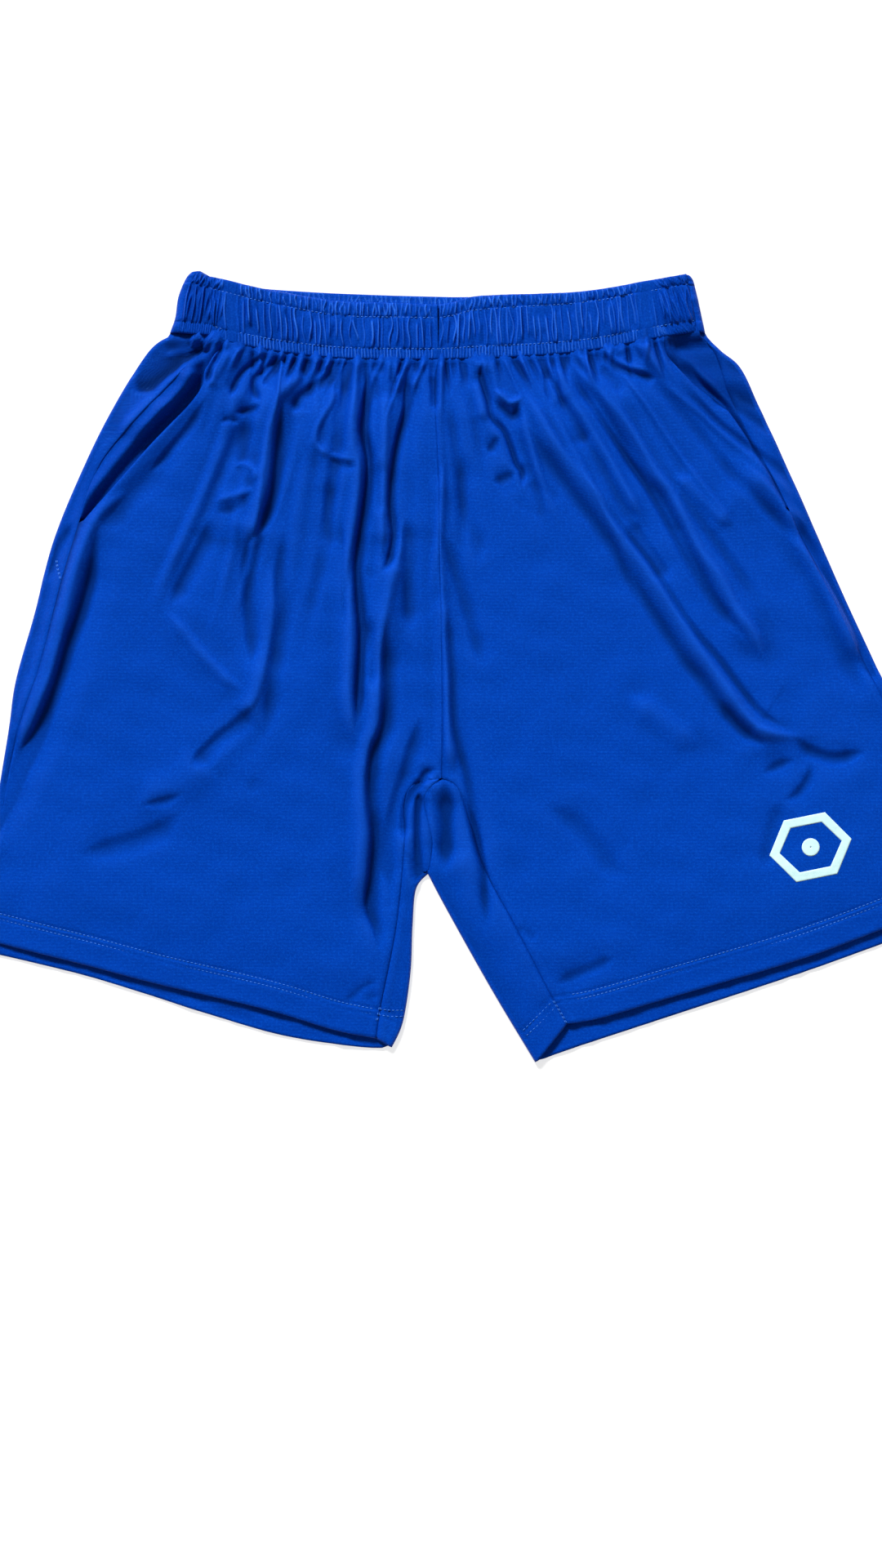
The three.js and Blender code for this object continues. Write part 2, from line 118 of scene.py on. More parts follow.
# Folds of the upper layer: height, width to the left and to the right of the way it runs, share of its length
# over which each end fades, and its line. A height below zero is a valley.
FOLDS = [
    # Large rounded crests
    (3.0, 18, 18, 0.16, [(-74, 215), (-77, 160), (-76, 110), (-80, 50), (-78, -60)]),
    (2.6, 16, 16, 0.16, [(-53, 215), (-56, 140), (-46, 85), (-58, 15), (-61, -50), (-71, -120),
        (-74, -185)]),
    (3.0, 20, 20, 0.16, [(-112, 218), (-134, 190), (-142, 135), (-158, 80)]),
    (3.2, 20, 22, 0.16, [(-192, 215), (-222, 180), (-264, 110), (-287, 40), (-322, -60)]),
    (4.2, 20, 16, 0.16, [(44, 208), (80, 150), (125, 88), (180, 5), (216, -42), (255, -54)]),
    (3.2, 20, 16, 0.16, [(82, 222), (142, 150), (176, 84), (226, 2)]),
    (2.6, 20, 22, 0.16, [(-140, 20), (-152, -30), (-200, -82), (-240, -104)]),
    (3.0, 14, 24, 0.16, [(195, 160), (236, 118), (270, 58), (300, 0)]),
    # Long valleys beside the middle, on the wearer's right
    (-5.7, 8, 3.8, 0.1, [(-68, 222), (-67, 205), (-69, 190), (-71, 172), (-66, 150), (-67, 130), (-70, 110),
        (-73, 90), (-75, 70), (-74, 50), (-72, 25), (-73, 0), (-74, -20), (-74, -45)]),
    (2.5, 5, 10.5, 0.1, [(-73, 210), (-76, 180), (-75, 160), (-73, 140), (-76, 110), (-80, 80), (-80, 50),
        (-78, 20), (-80, -20), (-78, -45), (-70, -58)]),
    (-5.1, 7, 3.5, 0.1, [(-39, 215), (-38, 200), (-40, 185), (-45, 165), (-49, 140), (-50, 115), (-48, 95),
        (-52, 75), (-58, 68)]),
    (2.5, 6.5, 9, 0.12, [(-52, 205), (-54, 170), (-56, 140), (-57, 110), (-55, 85)]),
    (-0.7, 8, 6.5, 0.35, [(-71, 71), (-64, 68), (-57, 66)]),
    (-2.5, 10.5, 6.5, 0.2, [(-38, 110), (-37, 90), (-38, 70), (-37, 45), (-36, 25)]),
    (2.5, 6.5, 10.5, 0.1, [(-42, 110), (-45, 80), (-52, 50), (-57, 20), (-57, -20), (-60, -45), (-68, -62),
        (-70, -90), (-68, -110), (-69, -150), (-72, -180)]),
    (-6.1, 13, 5, 0.16, [(-50, 40), (-53, 25), (-54, 0), (-54, -25), (-56, -45), (-62, -60), (-65, -80),
        (-65, -100), (-62, -125), (-64, -150), (-66, -175), (-61, -192), (-57, -212)]),
    (-2.4, 6.5, 5, 0.25, [(-66, 40), (-63, 0), (-64, -20)]),
    (-1.4, 4, 3, 0.25, [(-87, 110), (-85, 85), (-84, 60), (-83, 20)]),
    (-1.5, 8.5, 5.5, 0.25, [(-95, 140), (-96, 110), (-94, 90), (-98, 83)]),
    (-3.5, 11.5, 6.5, 0.2, [(-27, -35), (-33, -55), (-40, -80), (-45, -95), (-50, -115), (-53, -145),
        (-48, -172)]),
    # Wearer's right panel, towards the side
    (-5.2, 9, 4.6, 0.3, [(-128, 195), (-131, 175), (-133, 155), (-136, 130), (-140, 115), (-147, 98),
        (-155, 88)]),
    (-2.9, 10.5, 6.5, 0.25, [(-153, 96), (-155, 80), (-154, 50), (-152, 20), (-151, 0)]),
    (2.9, 6.5, 11.5, 0.12, [(-112, 215), (-125, 204), (-134, 190), (-138, 160), (-142, 130), (-150, 105),
        (-158, 88)]),
    (-2.5, 11.5, 6.5, 0.2, [(-128, 100), (-131, 60), (-129, 40), (-134, 10), (-137, -10), (-140, -40),
        (-143, -55)]),
    (2.1, 5, 10.5, 0.2, [(-137, 80), (-137, 40), (-143, 0), (-150, -25), (-165, -42)]),
    (-3.3, 13, 6.5, 0.2, [(-150, -28), (-162, -42), (-175, -52), (-185, -62), (-197, -74)]),
    (-2.0, 6.5, 4.5, 0.45, [(-200, -92), (-215, -98), (-235, -102)]),
    (-2.4, 15.5, 9, 0.3, [(-200, -105), (-225, -122), (-260, -133), (-280, -138)]),
    (2.3, 6, 8, 0.25, [(-216, 43), (-200, 25), (-185, 7), (-168, -10), (-153, -20)]),
    (-2.9, 11.5, 6.5, 0.25, [(-182, 110), (-185, 95), (-195, 75), (-203, 60), (-212, 42)]),
    (-1.4, 6, 5, 0.35, [(-180, 112), (-165, 115), (-155, 122), (-148, 126)]),
    (1.8, 5, 4.5, 0.3, [(-180, 120), (-160, 126), (-148, 130)]),
    (1.8, 3.5, 3.5, 0.3, [(-165, 145), (-158, 148), (-150, 143), (-150, 132)]),
    (-3.0, 10, 8, 0.35, [(-152, 188), (-156, 165), (-160, 135)]),
    (-2.0, 3.5, 3, 0.35, [(-175, 178), (-168, 180), (-160, 178)]),
    (-2.4, 4, 4, 0.35, [(-165, 185), (-150, 188), (-143, 192)]),
    (-0.4, 6.5, 6.5, 0.35, [(-148, -80), (-150, -87), (-152, -94)]),
    (-0.8, 4, 3.5, 0.25, [(-85, -240), (-80, -243), (-72, -236), (-65, -232), (-58, -229)]),
    (-0.6, 5, 4, 0.3, [(-70, -246), (-65, -242), (-58, -241)]),
    (-2.6, 6, 5, 0.3, [(-183, 198), (-195, 178), (-212, 157), (-228, 140)]),
    # Gathers under the wearer's right end of the band
    (-3.6, 4, 3.5, 0.2, [(-170, 237), (-176, 226), (-181, 216), (-184, 204)]),
    (2.2, 5, 5.5, 0.2, [(-166, 232), (-172, 222), (-178, 212), (-184, 203)]),
    (-3.2, 4, 3.5, 0.2, [(-140, 229), (-150, 222), (-158, 215), (-164, 205), (-167, 195)]),
    (-3.0, 4, 3.5, 0.2, [(-131, 228), (-142, 217), (-149, 211), (-150, 202), (-143, 191)]),
    (-2.6, 4, 3, 0.2, [(-126, 228), (-132, 222), (-139, 212), (-144, 203)]),
    (-1.3, 6.5, 5, 0.25, [(-107, 226), (-111, 219), (-117, 214)]),
    (-3.2, 7, 5, 0.15, [(-95, 224), (-92, 219), (-97, 211), (-108, 204), (-117, 196), (-121, 184)]),
    (-1.2, 6.5, 5, 0.2, [(-83, 224), (-82, 218), (-88, 210), (-91, 200)]),
    (-1.0, 5, 4, 0.3, [(-58, 224), (-58, 219), (-58, 213)]),
    (-1.0, 5.5, 5, 0.2, [(-44, 225), (-45, 215), (-48, 205)]),
    (-1.0, 5.5, 5, 0.2, [(-32, 224), (-34, 215), (-37, 208)]),
    (-1.5, 3.5, 3.5, 0.25, [(-22, 215), (-19, 205), (-18, 185)]),
    (2.4, 4, 4.5, 0.2, [(-92, 212), (-93, 195), (-99, 183), (-104, 172), (-104, 162), (-96, 155), (-85, 152),
        (-73, 149)]),
    (-1.8, 4.5, 4, 0.25, [(-99, 160), (-93, 152), (-84, 147), (-73, 144)]),
    # Wearer's right hip, where the back comes round
    (-2.2, 9.5, 8, 0.3, [(-192, 241), (-205, 236), (-217, 231)]),
    (-8.0, 8, 11, 0.2, [(-185, 241), (-193, 230), (-203, 224), (-217, 216), (-228, 208), (-237, 200)]),
    (2.0, 5.5, 5.5, 0.25, [(-188, 243), (-195, 234), (-207, 229), (-218, 227)]),
    (3.7, 6.5, 9, 0.2, [(-183, 235), (-195, 220), (-210, 207), (-225, 192), (-240, 178), (-250, 165)]),
    (-1.5, 4, 3.5, 0.3, [(-200, 214), (-215, 202), (-230, 190)]),
    (-2.5, 15.5, 11.5, 0.3, [(-205, 160), (-222, 142), (-240, 126), (-256, 108), (-263, 90)]),
    (-6.0, 10, 6.5, 0.2, [(-262, 108), (-265, 92), (-271, 62), (-278, 38), (-285, 20), (-291, 0),
        (-298, -20), (-308, -45), (-320, -70), (-331, -94), (-341, -120), (-350, -145)]),
    (3.2, 6.5, 9, 0.12, [(-240, 130), (-262, 112), (-272, 95), (-280, 70), (-287, 40), (-293, 15),
        (-299, -10), (-310, -35), (-325, -65)]),
    (-1.7, 5.5, 4, 0.25, [(-280, 108), (-287, 98), (-295, 85), (-300, 70), (-303, 60)]),
    (-0.4, 4, 4, 0.3, [(-331, -32), (-325, -40), (-321, -46)]),
    (-0.4, 4, 4, 0.3, [(-336, -44), (-330, -52), (-325, -60)]),
    # Wearer's left panel, beside the middle
    (-3.7, 4.5, 2.8, 0.12, [(20, 224), (16, 217), (18, 205), (21, 195), (24, 182), (33, 172), (38, 160),
        (42, 148), (46, 142), (46, 130)]),
    (1.9, 4, 7, 0.25, [(13, 212), (14, 205), (17, 190), (20, 178)]),
    (2.6, 3.5, 3.5, 0.3, [(24, 204), (31, 198), (37, 193), (43, 195), (47, 200)]),
    (-2.9, 5, 5, 0.35, [(24, 197), (32, 189), (40, 183), (45, 195)]),
    (-2.1, 5, 4.5, 0.4, [(31, 169), (26, 163), (20, 154)]),
    (-2.0, 6, 5, 0.35, [(43, 142), (34, 138), (24, 134)]),
    (-0.5, 7, 5.5, 0.25, [(46, 134), (60, 130), (77, 121)]),
    (-0.5, 8, 5.5, 0.25, [(38, 121), (45, 119), (55, 113), (65, 109)]),
    # Wearer's left panel, long ridges that run out to the side
    (2.4, 5, 9, 0.1, [(40, 205), (48, 200), (58, 185), (68, 168), (78, 153), (100, 125), (122, 92),
        (140, 68), (160, 38), (180, 5), (195, -15), (210, -38), (222, -47), (240, -50), (255, -52)]),
    (-2.5, 7, 9, 0.1, [(50, 175), (60, 160), (70, 145), (90, 118), (110, 92), (130, 58), (150, 28), (165, 5),
        (180, -12), (197, -35), (213, -50), (228, -62)]),
    (-2.6, 4.5, 4.5, 0.15, [(95, 132), (110, 112), (122, 97), (140, 75), (160, 43), (175, 22), (190, 5),
        (205, -15), (222, -35), (245, -47)]),
    (3.1, 6.5, 8, 0.15, [(60, 225), (72, 215), (85, 190), (100, 165), (110, 150), (118, 135), (128, 118),
        (136, 105)]),
    (-1.8, 5.5, 10, 0.2, [(72, 200), (85, 180), (95, 160)]),
    (-1.6, 5.5, 10, 0.2, [(125, 108), (140, 85), (155, 62)]),
    (2.6, 6.5, 8, 0.1, [(78, 228), (88, 215), (105, 195), (120, 178), (132, 160), (143, 140), (155, 128),
        (163, 110), (175, 85), (190, 65), (203, 40), (215, 25), (222, 8), (228, 0)]),
    (-2.9, 6, 8.5, 0.12, [(78, 225), (90, 205), (103, 190), (118, 165), (125, 150), (135, 138), (148, 122),
        (162, 98), (172, 78), (185, 52), (200, 32), (212, 18)]),
    (2.2, 8.5, 7, 0.2, [(155, 138), (165, 135), (175, 125), (190, 110), (200, 102)]),
    (-1.7, 5.5, 5.5, 0.3, [(100, 222), (115, 205), (118, 195)]),
    (-2.5, 4, 5.5, 0.15, [(106, 232), (110, 224), (118, 218), (128, 214), (138, 211), (145, 210)]),
    (-1.3, 5, 5, 0.3, [(116, 231), (120, 226), (128, 222)]),
    (1.7, 4, 4, 0.3, [(111, 230), (116, 223), (127, 218), (140, 215)]),
    (-2.2, 8, 7, 0.35, [(188, -22), (200, -38), (212, -50), (226, -58)]),
    # Wearer's left side
    (2.4, 5, 11.5, 0.12, [(208, 150), (222, 135), (236, 118), (248, 100), (258, 80), (270, 58), (283, 32),
        (300, 0)]),
    (-4.8, 6.5, 4.5, 0.15, [(240, 115), (252, 98), (262, 78), (272, 62), (285, 38), (296, 12), (302, -2),
        (308, -15)]),
    (-2.4, 10, 14, 0.2, [(205, 140), (222, 125), (235, 105), (245, 80), (262, 55), (275, 25), (290, -5),
        (300, -30)]),
    (-3.1, 6.5, 8, 0.3, [(243, -50), (247, -54), (258, -62), (275, -67), (290, -64), (300, -62)]),
    (-1.8, 6, 4.5, 0.45, [(220, -80), (235, -72), (248, -68)]),
    (-2.2, 6.5, 4.5, 0.4, [(258, -68), (257, -77), (253, -86), (246, -94), (236, -99)]),
    (-1.5, 11, 8.5, 0.25, [(237, -97), (230, -115), (225, -135), (222, -150)]),
    (2.2, 13, 15.5, 0.3, [(120, -20), (140, -32), (160, -48), (180, -60)]),
    (-2.2, 13, 13, 0.3, [(60, -100), (80, -112), (95, -125), (110, -145), (130, -155)]),
    (-1.5, 7, 5.5, 0.25, [(70, -233), (85, -226), (100, -220), (115, -212)]),
    (-0.6, 5, 5, 0.25, [(42, -190), (50, -195), (57, -200)]),
    # Wearer's left pocket
    (-1.6, 2, 2, 0.2, [(152, 241), (157, 231), (164, 221)]),
    (-1.6, 2, 2, 0.2, [(170, 243), (177, 233), (187, 223)]),
    (2.2, 2, 2.5, 0.2, [(165, 242), (171, 232), (180, 222)]),
    (-4.0, 3.5, 4, 0.2, [(160, 243), (167, 230), (172, 218), (180, 207), (190, 195), (200, 187)]),
    (2.2, 5.5, 5.5, 0.2, [(168, 238), (178, 222), (190, 205), (198, 195)]),
    (-1.8, 5.5, 4, 0.25, [(-58, 152), (-59, 130), (-58, 108)]),
    # The tube beside the front seam
    (3.1, 6, 6, 0.15, [(-13, 60), (-11.5, 38), (-10, 15), (-8.5, -10), (-8, -40), (-6, -62), (-4, -80)]),
    (-2.4, 6.5, 4, 0.12, [(-8, 42), (-7, 15), (-5, -10), (-4, -40), (0, -60), (5, -78), (9, -100),
        (12, -120), (17, -147)]),
    (-2.4, 10.5, 6.5, 0.25, [(-17, 100), (-8, 85), (0, 62), (8, 35), (15, 8), (20, -5)]),
    (-2.1, 10.5, 8, 0.25, [(4, 160), (4, 130), (8, 105), (14, 90), (13, 70)]),
    (2.2, 5, 5, 0.2, [(-12, 150), (-14, 100), (-13, 60), (-11, 40)]),
    # Crotch and inner legs
    (-3.4, 5, 5, 0.3, [(1, -88), (8, -108), (14, -130), (18, -150), (19, -172), (20.5, -197)]),
    (-3.3, 4.5, 4.5, 0.2, [(-14, -74), (-24, -78), (-30, -87), (-37, -98), (-40, -110), (-41, -130)]),
    (1.2, 6.5, 6.5, 0.3, [(-25, -90), (-22, -86), (-17, -80)]),
    (-4.8, 4, 3.5, 0.12, [(-29, -90), (-30.5, -110), (-30.5, -130), (-29, -160)]),
    (-5.0, 9, 11, 0.3, [(-9, -82), (-9, -105), (-9, -130), (-10, -152)]),
]


# Stitches that no outline gives: the hem's two rows on the strips of the inner legs, and bar tacks on seams
HAND_ROWS = [
    [(-57.3, -250.6), (-50, -251.5), (-42, -251.5)],
    [(-58.2, -254.8), (-50, -256), (-42.5, -256)],
    [(66, -247), (57, -256), (47.5, -265.5)],
    [(68.5, -251), (60, -260), (50, -269.5)],
]
BAR_TACKS = [
    [(69.6, -245.4), (74, -252.5), (78, -259.8)],
    [(-58.2, -250.2), (-59, -254), (-60, -258)],
    [(-294.6, 77), (-293.6, 72), (-291.6, 65)],
]
TACK_WIDTH = 0.5  # half the distance between the two lines of a bar tack
HAND_LIFT = 0.25  # how high each kind of stitch lies on its cloth
TACK_LIFT = 0.6
HEM_LIFT = -0.1
BAND_STITCH_LIFT = -0.45

# Cloth
CLOTH = 1.2  # thickness
SEAM_LAP = 0.15  # how far each piece runs past a seam line, down in its groove
ROLL = 2.8  # how far an edge's roll reaches
HEM_ROWS = (17.5, 21.5)  # distance of the two rows of stitches from a hem
HEM_EDGE = (1.4, 1.2)  # reach and depth of a hem's rounded edge
STRIP_HEM = -120  # the hems of the side strips and of the flaps lie below these places
FLAP_HEM = -180

# Height of the upper layer
LIFT = 5.2  # above the floor, along its edges
PUFF = 4.2  # how much higher it stands away from its edges
LOWEST = 2.65  # in its deepest valleys
CLEAR = 0.9  # height over which the deepest valleys level out
SHOULDER = 2.4  # how much wider than its crease a fold's soft shoulders are
SWELL = [(0.26, 5, 16, 24, 80), (0.02, 6, 16, 5, 11)]  # height, seed, count, shortest and longest wave
UNDER_LEAST = 1.35  # lowest place of the front's inner face
TUCK = 5.0  # how far the panels run up under the band
TUCK_DROP = 1.2

# Painted highlight on the cloth's crests and painted shade in its valleys
CREST_REACH = 24  # steps of the grid over which a place is compared with its surroundings
CREST_FULL = 2.2  # height above its surroundings of a full crest
PANEL_PAINTED_HIGHLIGHT = 0.3  # strength of the painted highlight on crests and of the painted shade in valleys on the panels, compared with the band's painted highlight
PANEL_PAINTED_SHADE = 0.85
FACING_SHADE = {"right": 0.2, "left": 0.5}  # painted shade in the mouth of each pocket, and towards the top of the side strip beside it

# Waistband
BAND_HIGH = 44
BAND_SLOPE = 45  # height over which the band's ends lean
BAND_LIFT = 5.9  # height of its face at the middle
BAND_ROLL = 5
ELASTIC = 2.6  # thickness of its lower layer
EAR_STEP = {"right": 3.5, "left": 0.0}  # how far below the rise of the band's ends a valley may reach
EAR_LIFT = 8.5  # how much higher the band stands at its ends, over this width and down to this reach
EAR_WIDTH = 34
EAR_REACH = 75
EAR_CORNER = 7  # radius of its rounded corners
EAR_FROM_END = {"right": 12, "left": 28}  # where the close pleats of the ends begin
EAR_CLOSE = 0.6  # spacing of the pleats there, compared with elsewhere, and their height
EAR_TALL = 1.2
UPPER_STITCH = 0.185  # place of the upper stitches at the band's ends, as a share from its top edge
LOWER_STITCH = 0.81
FLAT_PATCHES = [(-16.5, 3.2), (-165.5, 6), (136.5, 9)]  # where the band isn't gathered: middle, half width
# Spacing, width, height and unevenness of the ridges above the upper stitches, between the stitches and below
GATHERS = [(3.0, 1.1, 1.3, 1.0), (4.2, 1.3, 2.0, 1.0), (2.35, 0.85, 0.9, 0.25)]
INNER_GATHERS = (2.9, 0.9, 1.0, 1.0)
BACK_WALL = 1.6

# Printed motif
MOTIF_CENTRE = np.array([257.0, -132.0])
MOTIF_SIZE = (61.0, 46.0)
MOTIF_STROKE = 6.5
MOTIF_DOT = 13.0
MOTIF_TURN = 0.2
PRINT_LIFT = 0.3
PRINT_THICKNESS = 0.5

# Knit
FLECK_NOISE = {"Scale": 620.0, "Detail": 2.0, "Roughness": 0.6}
FLECK_RANGE = {"From_Min": 0.46, "From_Max": 0.72}
BROAD_NOISE = {"Scale": 260.0, "Detail": 5.0, "Roughness": 0.65}
CREST_PAINTED_HIGHLIGHT = 0.85  # how much of the painted highlight colour a full crest has
VALLEY_PAINTED_SHADE = 0.9  # how much painted shade a full valley has, and the share of the cloth's colour that the painted shade leaves
VALLEY_SHADE_SHARE = 0.25
LOOP_DEPTH = 0.0003
SHEEN = 0.22
SHEEN_TINT = (0.02, 0.3, 1, 1)

# Stage
FLOOR_REACH = 6.0
FLOOR_DROP = 0.0003  # keeps the surface clear of the flat underside
FLOOR_GLOW = 0.7
SKY_STRENGTH = 0.25
KEY_STRENGTH = 4.7
KEY_ANGLE = math.radians(14)
KEY_FROM = (-0.35, 0.94)
KEY_LIFT = math.radians(38)
CAMERA_PLACE = (-0.0132, -0.0858)
SENSOR = 36


def mix(a, b, share):
    """The value at a share of the way from a to b"""
    return a + (b - a) * share


def smooth(share):
    """Soft step from 0 to 1"""
    held = np.clip(share, 0, 1)
    return held * held * (3 - 2 * held)


def bell(share):
    """Round hump: 1 at 0, and 0 from 1 on"""
    return 0.5 + 0.5 * np.cos(math.pi * np.clip(np.abs(share), 0, 1))


def curve(points, steps=24):
    """Close points along a smooth line through the given ones"""
    knots = np.array(points, float)
    held = np.vstack([knots[:1], knots, knots[-1:]])
    t = np.linspace(0, 1, steps, endpoint=False)[:, None]
    pieces = []
    for a, b, c, d in zip(held, held[1:], held[2:], held[3:]):
        square = 2 * a - 5 * b + 4 * c - d
        cube = 3 * b - a - 3 * c + d
        pieces.append(0.5 * (2 * b + (c - a) * t + square * t**2 + cube * t**3))
    return np.vstack([*pieces, knots[-1:]])


def run_of(line):
    """Distance from the start of a line to each of its points"""
    return np.concatenate([[0], np.cumsum(np.linalg.norm(np.diff(line, axis=0), axis=1))])


def spaced(points, shares):
    """Points along a smooth line, at shares of its length. A whole number means so many equal parts."""
    if np.isscalar(shares):
        shares = np.linspace(0, 1, shares + 1)
    fine = curve(points)
    run = run_of(fine)
    return np.stack([np.interp(shares * run[-1], run, fine[:, k]) for k in (0, 1)], axis=1)


def across(line):
    """Unit direction to the left of travel at each point of a line"""
    way = np.gradient(line, axis=0)
    way = np.stack([-way[:, 1], way[:, 0]], axis=1)
    return way / np.linalg.norm(way, axis=1)[:, None]


def shifted(line, distance):
    """Line moved to the left of its travel"""
    return line + across(line) * distance


def joined(first, second):
    """One line from two that share a point"""
    return np.vstack([first, second[1:]])


def filled(top, bottom, inner, outer, u, v):
    """Grid of points that fills the space between four border lines"""
    u = u[None, :, None]
    v = v[:, None, None]
    corners = mix(mix(top[0], top[-1], u), mix(bottom[0], bottom[-1], u), v)
    return mix(top[None], bottom[None], v) + mix(inner[:, None], outer[:, None], u) - corners


def distance_to(line, x, y):
    """Distance from points to a line, positive to the left of its travel, and the nearest place's share"""
    nearest = np.full(x.shape, np.inf)
    side = np.ones(x.shape)
    along = np.zeros(x.shape)
    for i, ((ax, ay), (bx, by)) in enumerate(zip(line, line[1:])):
        dx, dy = bx - ax, by - ay
        share = np.clip(((x - ax) * dx + (y - ay) * dy) / (dx * dx + dy * dy), 0, 1)
        px, py = x - ax - share * dx, y - ay - share * dy
        distance = np.hypot(px, py)
        closer = distance < nearest
        nearest = np.where(closer, distance, nearest)
        side = np.where(closer, np.sign(dx * py - dy * px), side)
        along = np.where(closer, (i + share) / (len(line) - 1), along)
    return nearest * np.where(side < 0, -1, 1), along


def fold_height(fold, x, y):
    """Height that one fold adds at points"""
    height, left, right, fade, points = fold
    line = spaced(points, max(4, 3 * len(points)))
    reach = max(left, right) * SHOULDER
    near = (x > line[:, 0].min() - reach) & (x < line[:, 0].max() + reach)
    near &= (y > line[:, 1].min() - reach) & (y < line[:, 1].max() + reach)
    added = np.zeros(x.shape)
    distance, along = distance_to(line, x[near], y[near])
    ends = smooth(along / fade) * smooth((1 - along) / fade)
    share = distance / np.where(distance > 0, left, right) / mix(0.35, 1, ends)
    added[near] = height * ends * (0.75 * bell(share) + 0.55 * bell(share / SHOULDER))
    return added


def nearest_of(lines, x, y):
    """Distance to the nearest of several lines"""
    return np.min([np.abs(distance_to(line, x, y)[0]) for line in lines], axis=0)


def beside(points, x, y, parts=24):
    """Distance to a smooth line through a few points"""
    return nearest_of([spaced(points, parts)], x, y)


WAIST_LINES = [spaced([*h["top"], h["band_seam"][1], h["band_edge"][-1]], 24) for h in HALVES.values()]
SEAM_LINES = [spaced(FRONT_SEAM, 24), spaced(FLAP_SEAM, 8)]
for h in HALVES.values():
    SEAM_LINES += [spaced([*h["pocket_seam"], *h["side_seam"][1:]], 30), spaced(h["inseam"], 20)]
BORDERS = [
    ([spaced(h["edge"], 24) for h in HALVES.values()], 70, 0),
    ([spaced(h["inner_fold"], 24) for h in HALVES.values()], 34, 0),
    (WAIST_LINES, 46, 0),
    ([spaced(h["front_hem"], 24) for h in HALVES.values()], 60, 0.25),
]


def waves(x, y, seed, count, shortest, longest):
    """Uneven swell from -1 to 1"""
    rng = np.random.default_rng(seed)
    total = np.zeros(x.shape)
    for _ in range(count):
        way = rng.uniform(0, 2 * math.pi)
        length = rng.uniform(shortest, longest)
        phase = rng.uniform(0, 2 * math.pi)
        total += np.sin(2 * math.pi * (x * math.cos(way) + y * math.sin(way)) / length + phase)
    return total / math.sqrt(count)


def band_height(half, x, y):
    """Height of the band's outer face: lowest at its middle, and rounding down again at each end"""
    start, end = np.array(half["band_edge"][0]), np.array(half["band_edge"][-1])
    at = mix(start[0], end[0], (start[1] - y) / BAND_SLOPE)
    from_end = (at - x) * half["out"]
    from_middle = (x - WAIST[0]) * half["out"]
    rise = smooth(from_middle / (from_middle + np.maximum(from_end - EAR_WIDTH, 1)).clip(1))
    fall = smooth((from_end + EAR_WIDTH * 0.35) / (EAR_WIDTH * 1.35))
    return BAND_LIFT + EAR_LIFT * rise**4 * fall


def waist_gathers(x, y, distance):
    """Small folds that start at the band and fade out below it"""
    rng = np.random.default_rng(11)
    total = np.zeros(x.shape)
    at = -200.0
    while at < 180:
        at += rng.uniform(3.2, 7.6)
        lean = rng.uniform(-0.35, 0.35) + (0.25 if at > 0 else -0.15)
        reach = rng.uniform(16, 58)
        width = rng.uniform(2.4, 5.0)
        height = rng.uniform(2.2, 4.8) * rng.choice([-1, 1])
        fade = smooth(1 - distance / reach) * mix(0.3, 1, smooth(distance / 6))
        total += height * bell((x - at - lean * distance) / width) * fade
    return total


def fan_folds(x, y, distance):
    """Long soft folds that fan out below the band"""
    rng = np.random.default_rng(23)
    total = np.zeros(x.shape)
    at = -190.0
    while at < 170:
        at += rng.uniform(6, 12)
        lean = (at - WAIST[0]) * (0.0062 if at > WAIST[0] else 0.0024) + rng.uniform(-0.06, 0.06)
        first = rng.uniform(0, 35)
        reach = rng.uniform(70, 230)
        width = rng.uniform(4, 8.5)
        height = rng.uniform(0.9, 2.2) * rng.choice([-1, 1])
        sway = 2.5 * np.sin(distance / rng.uniform(22, 40) + rng.uniform(0, 6))
        fade = smooth((distance - first) / 25) * smooth((first + reach - distance) / 60)
        total += height * bell((x - at - lean * distance - sway) / width) * fade
    return total


def top_height(place):
    """Outer face of the upper layer at an array of points"""
    x, y = place[..., 0], place[..., 1]
    total = np.full(x.shape, float(PUFF))
    waist = nearest_of(WAIST_LINES, x, y)
    for lines, width, left in BORDERS:
        total *= mix(left, 1, smooth(nearest_of(lines, x, y) / width))
    total += LIFT
    lowest = np.full(x.shape, LOWEST)
    for side, half in HALVES.items():
        ear = np.where((x - WAIST[0]) * half["out"] > 0, band_height(half, x, y) - BAND_LIFT, 0)
        total += ear * smooth(1 - waist / EAR_REACH)
        lowest += (ear - EAR_STEP[side]).clip(0) * smooth(1 - waist / 18)
    for fold in FOLDS:
        total += fold_height(fold, x, y)
    total += waist_gathers(x, y, waist) + fan_folds(x, y, waist)
    for height, *form in SWELL:
        total += height * waves(x, y, *form)
    seam = nearest_of(SEAM_LINES, x, y)
    total += 0.3 * bell((seam - 4) / 3.5) - 0.55 * bell(seam / 1.5)
    deep = lowest + CLEAR * np.exp(np.minimum(total - lowest - CLEAR, 0) / CLEAR)
    return np.where(total < lowest + CLEAR, deep, total)


def edge_drop(distance, reach=1.3, depth=1.0):
    """How far a cloth's cut or folded edge rounds down"""
    share = 1 - np.clip(distance / reach, 0, 1)
    return depth * (1 - np.sqrt(1 - share**2))


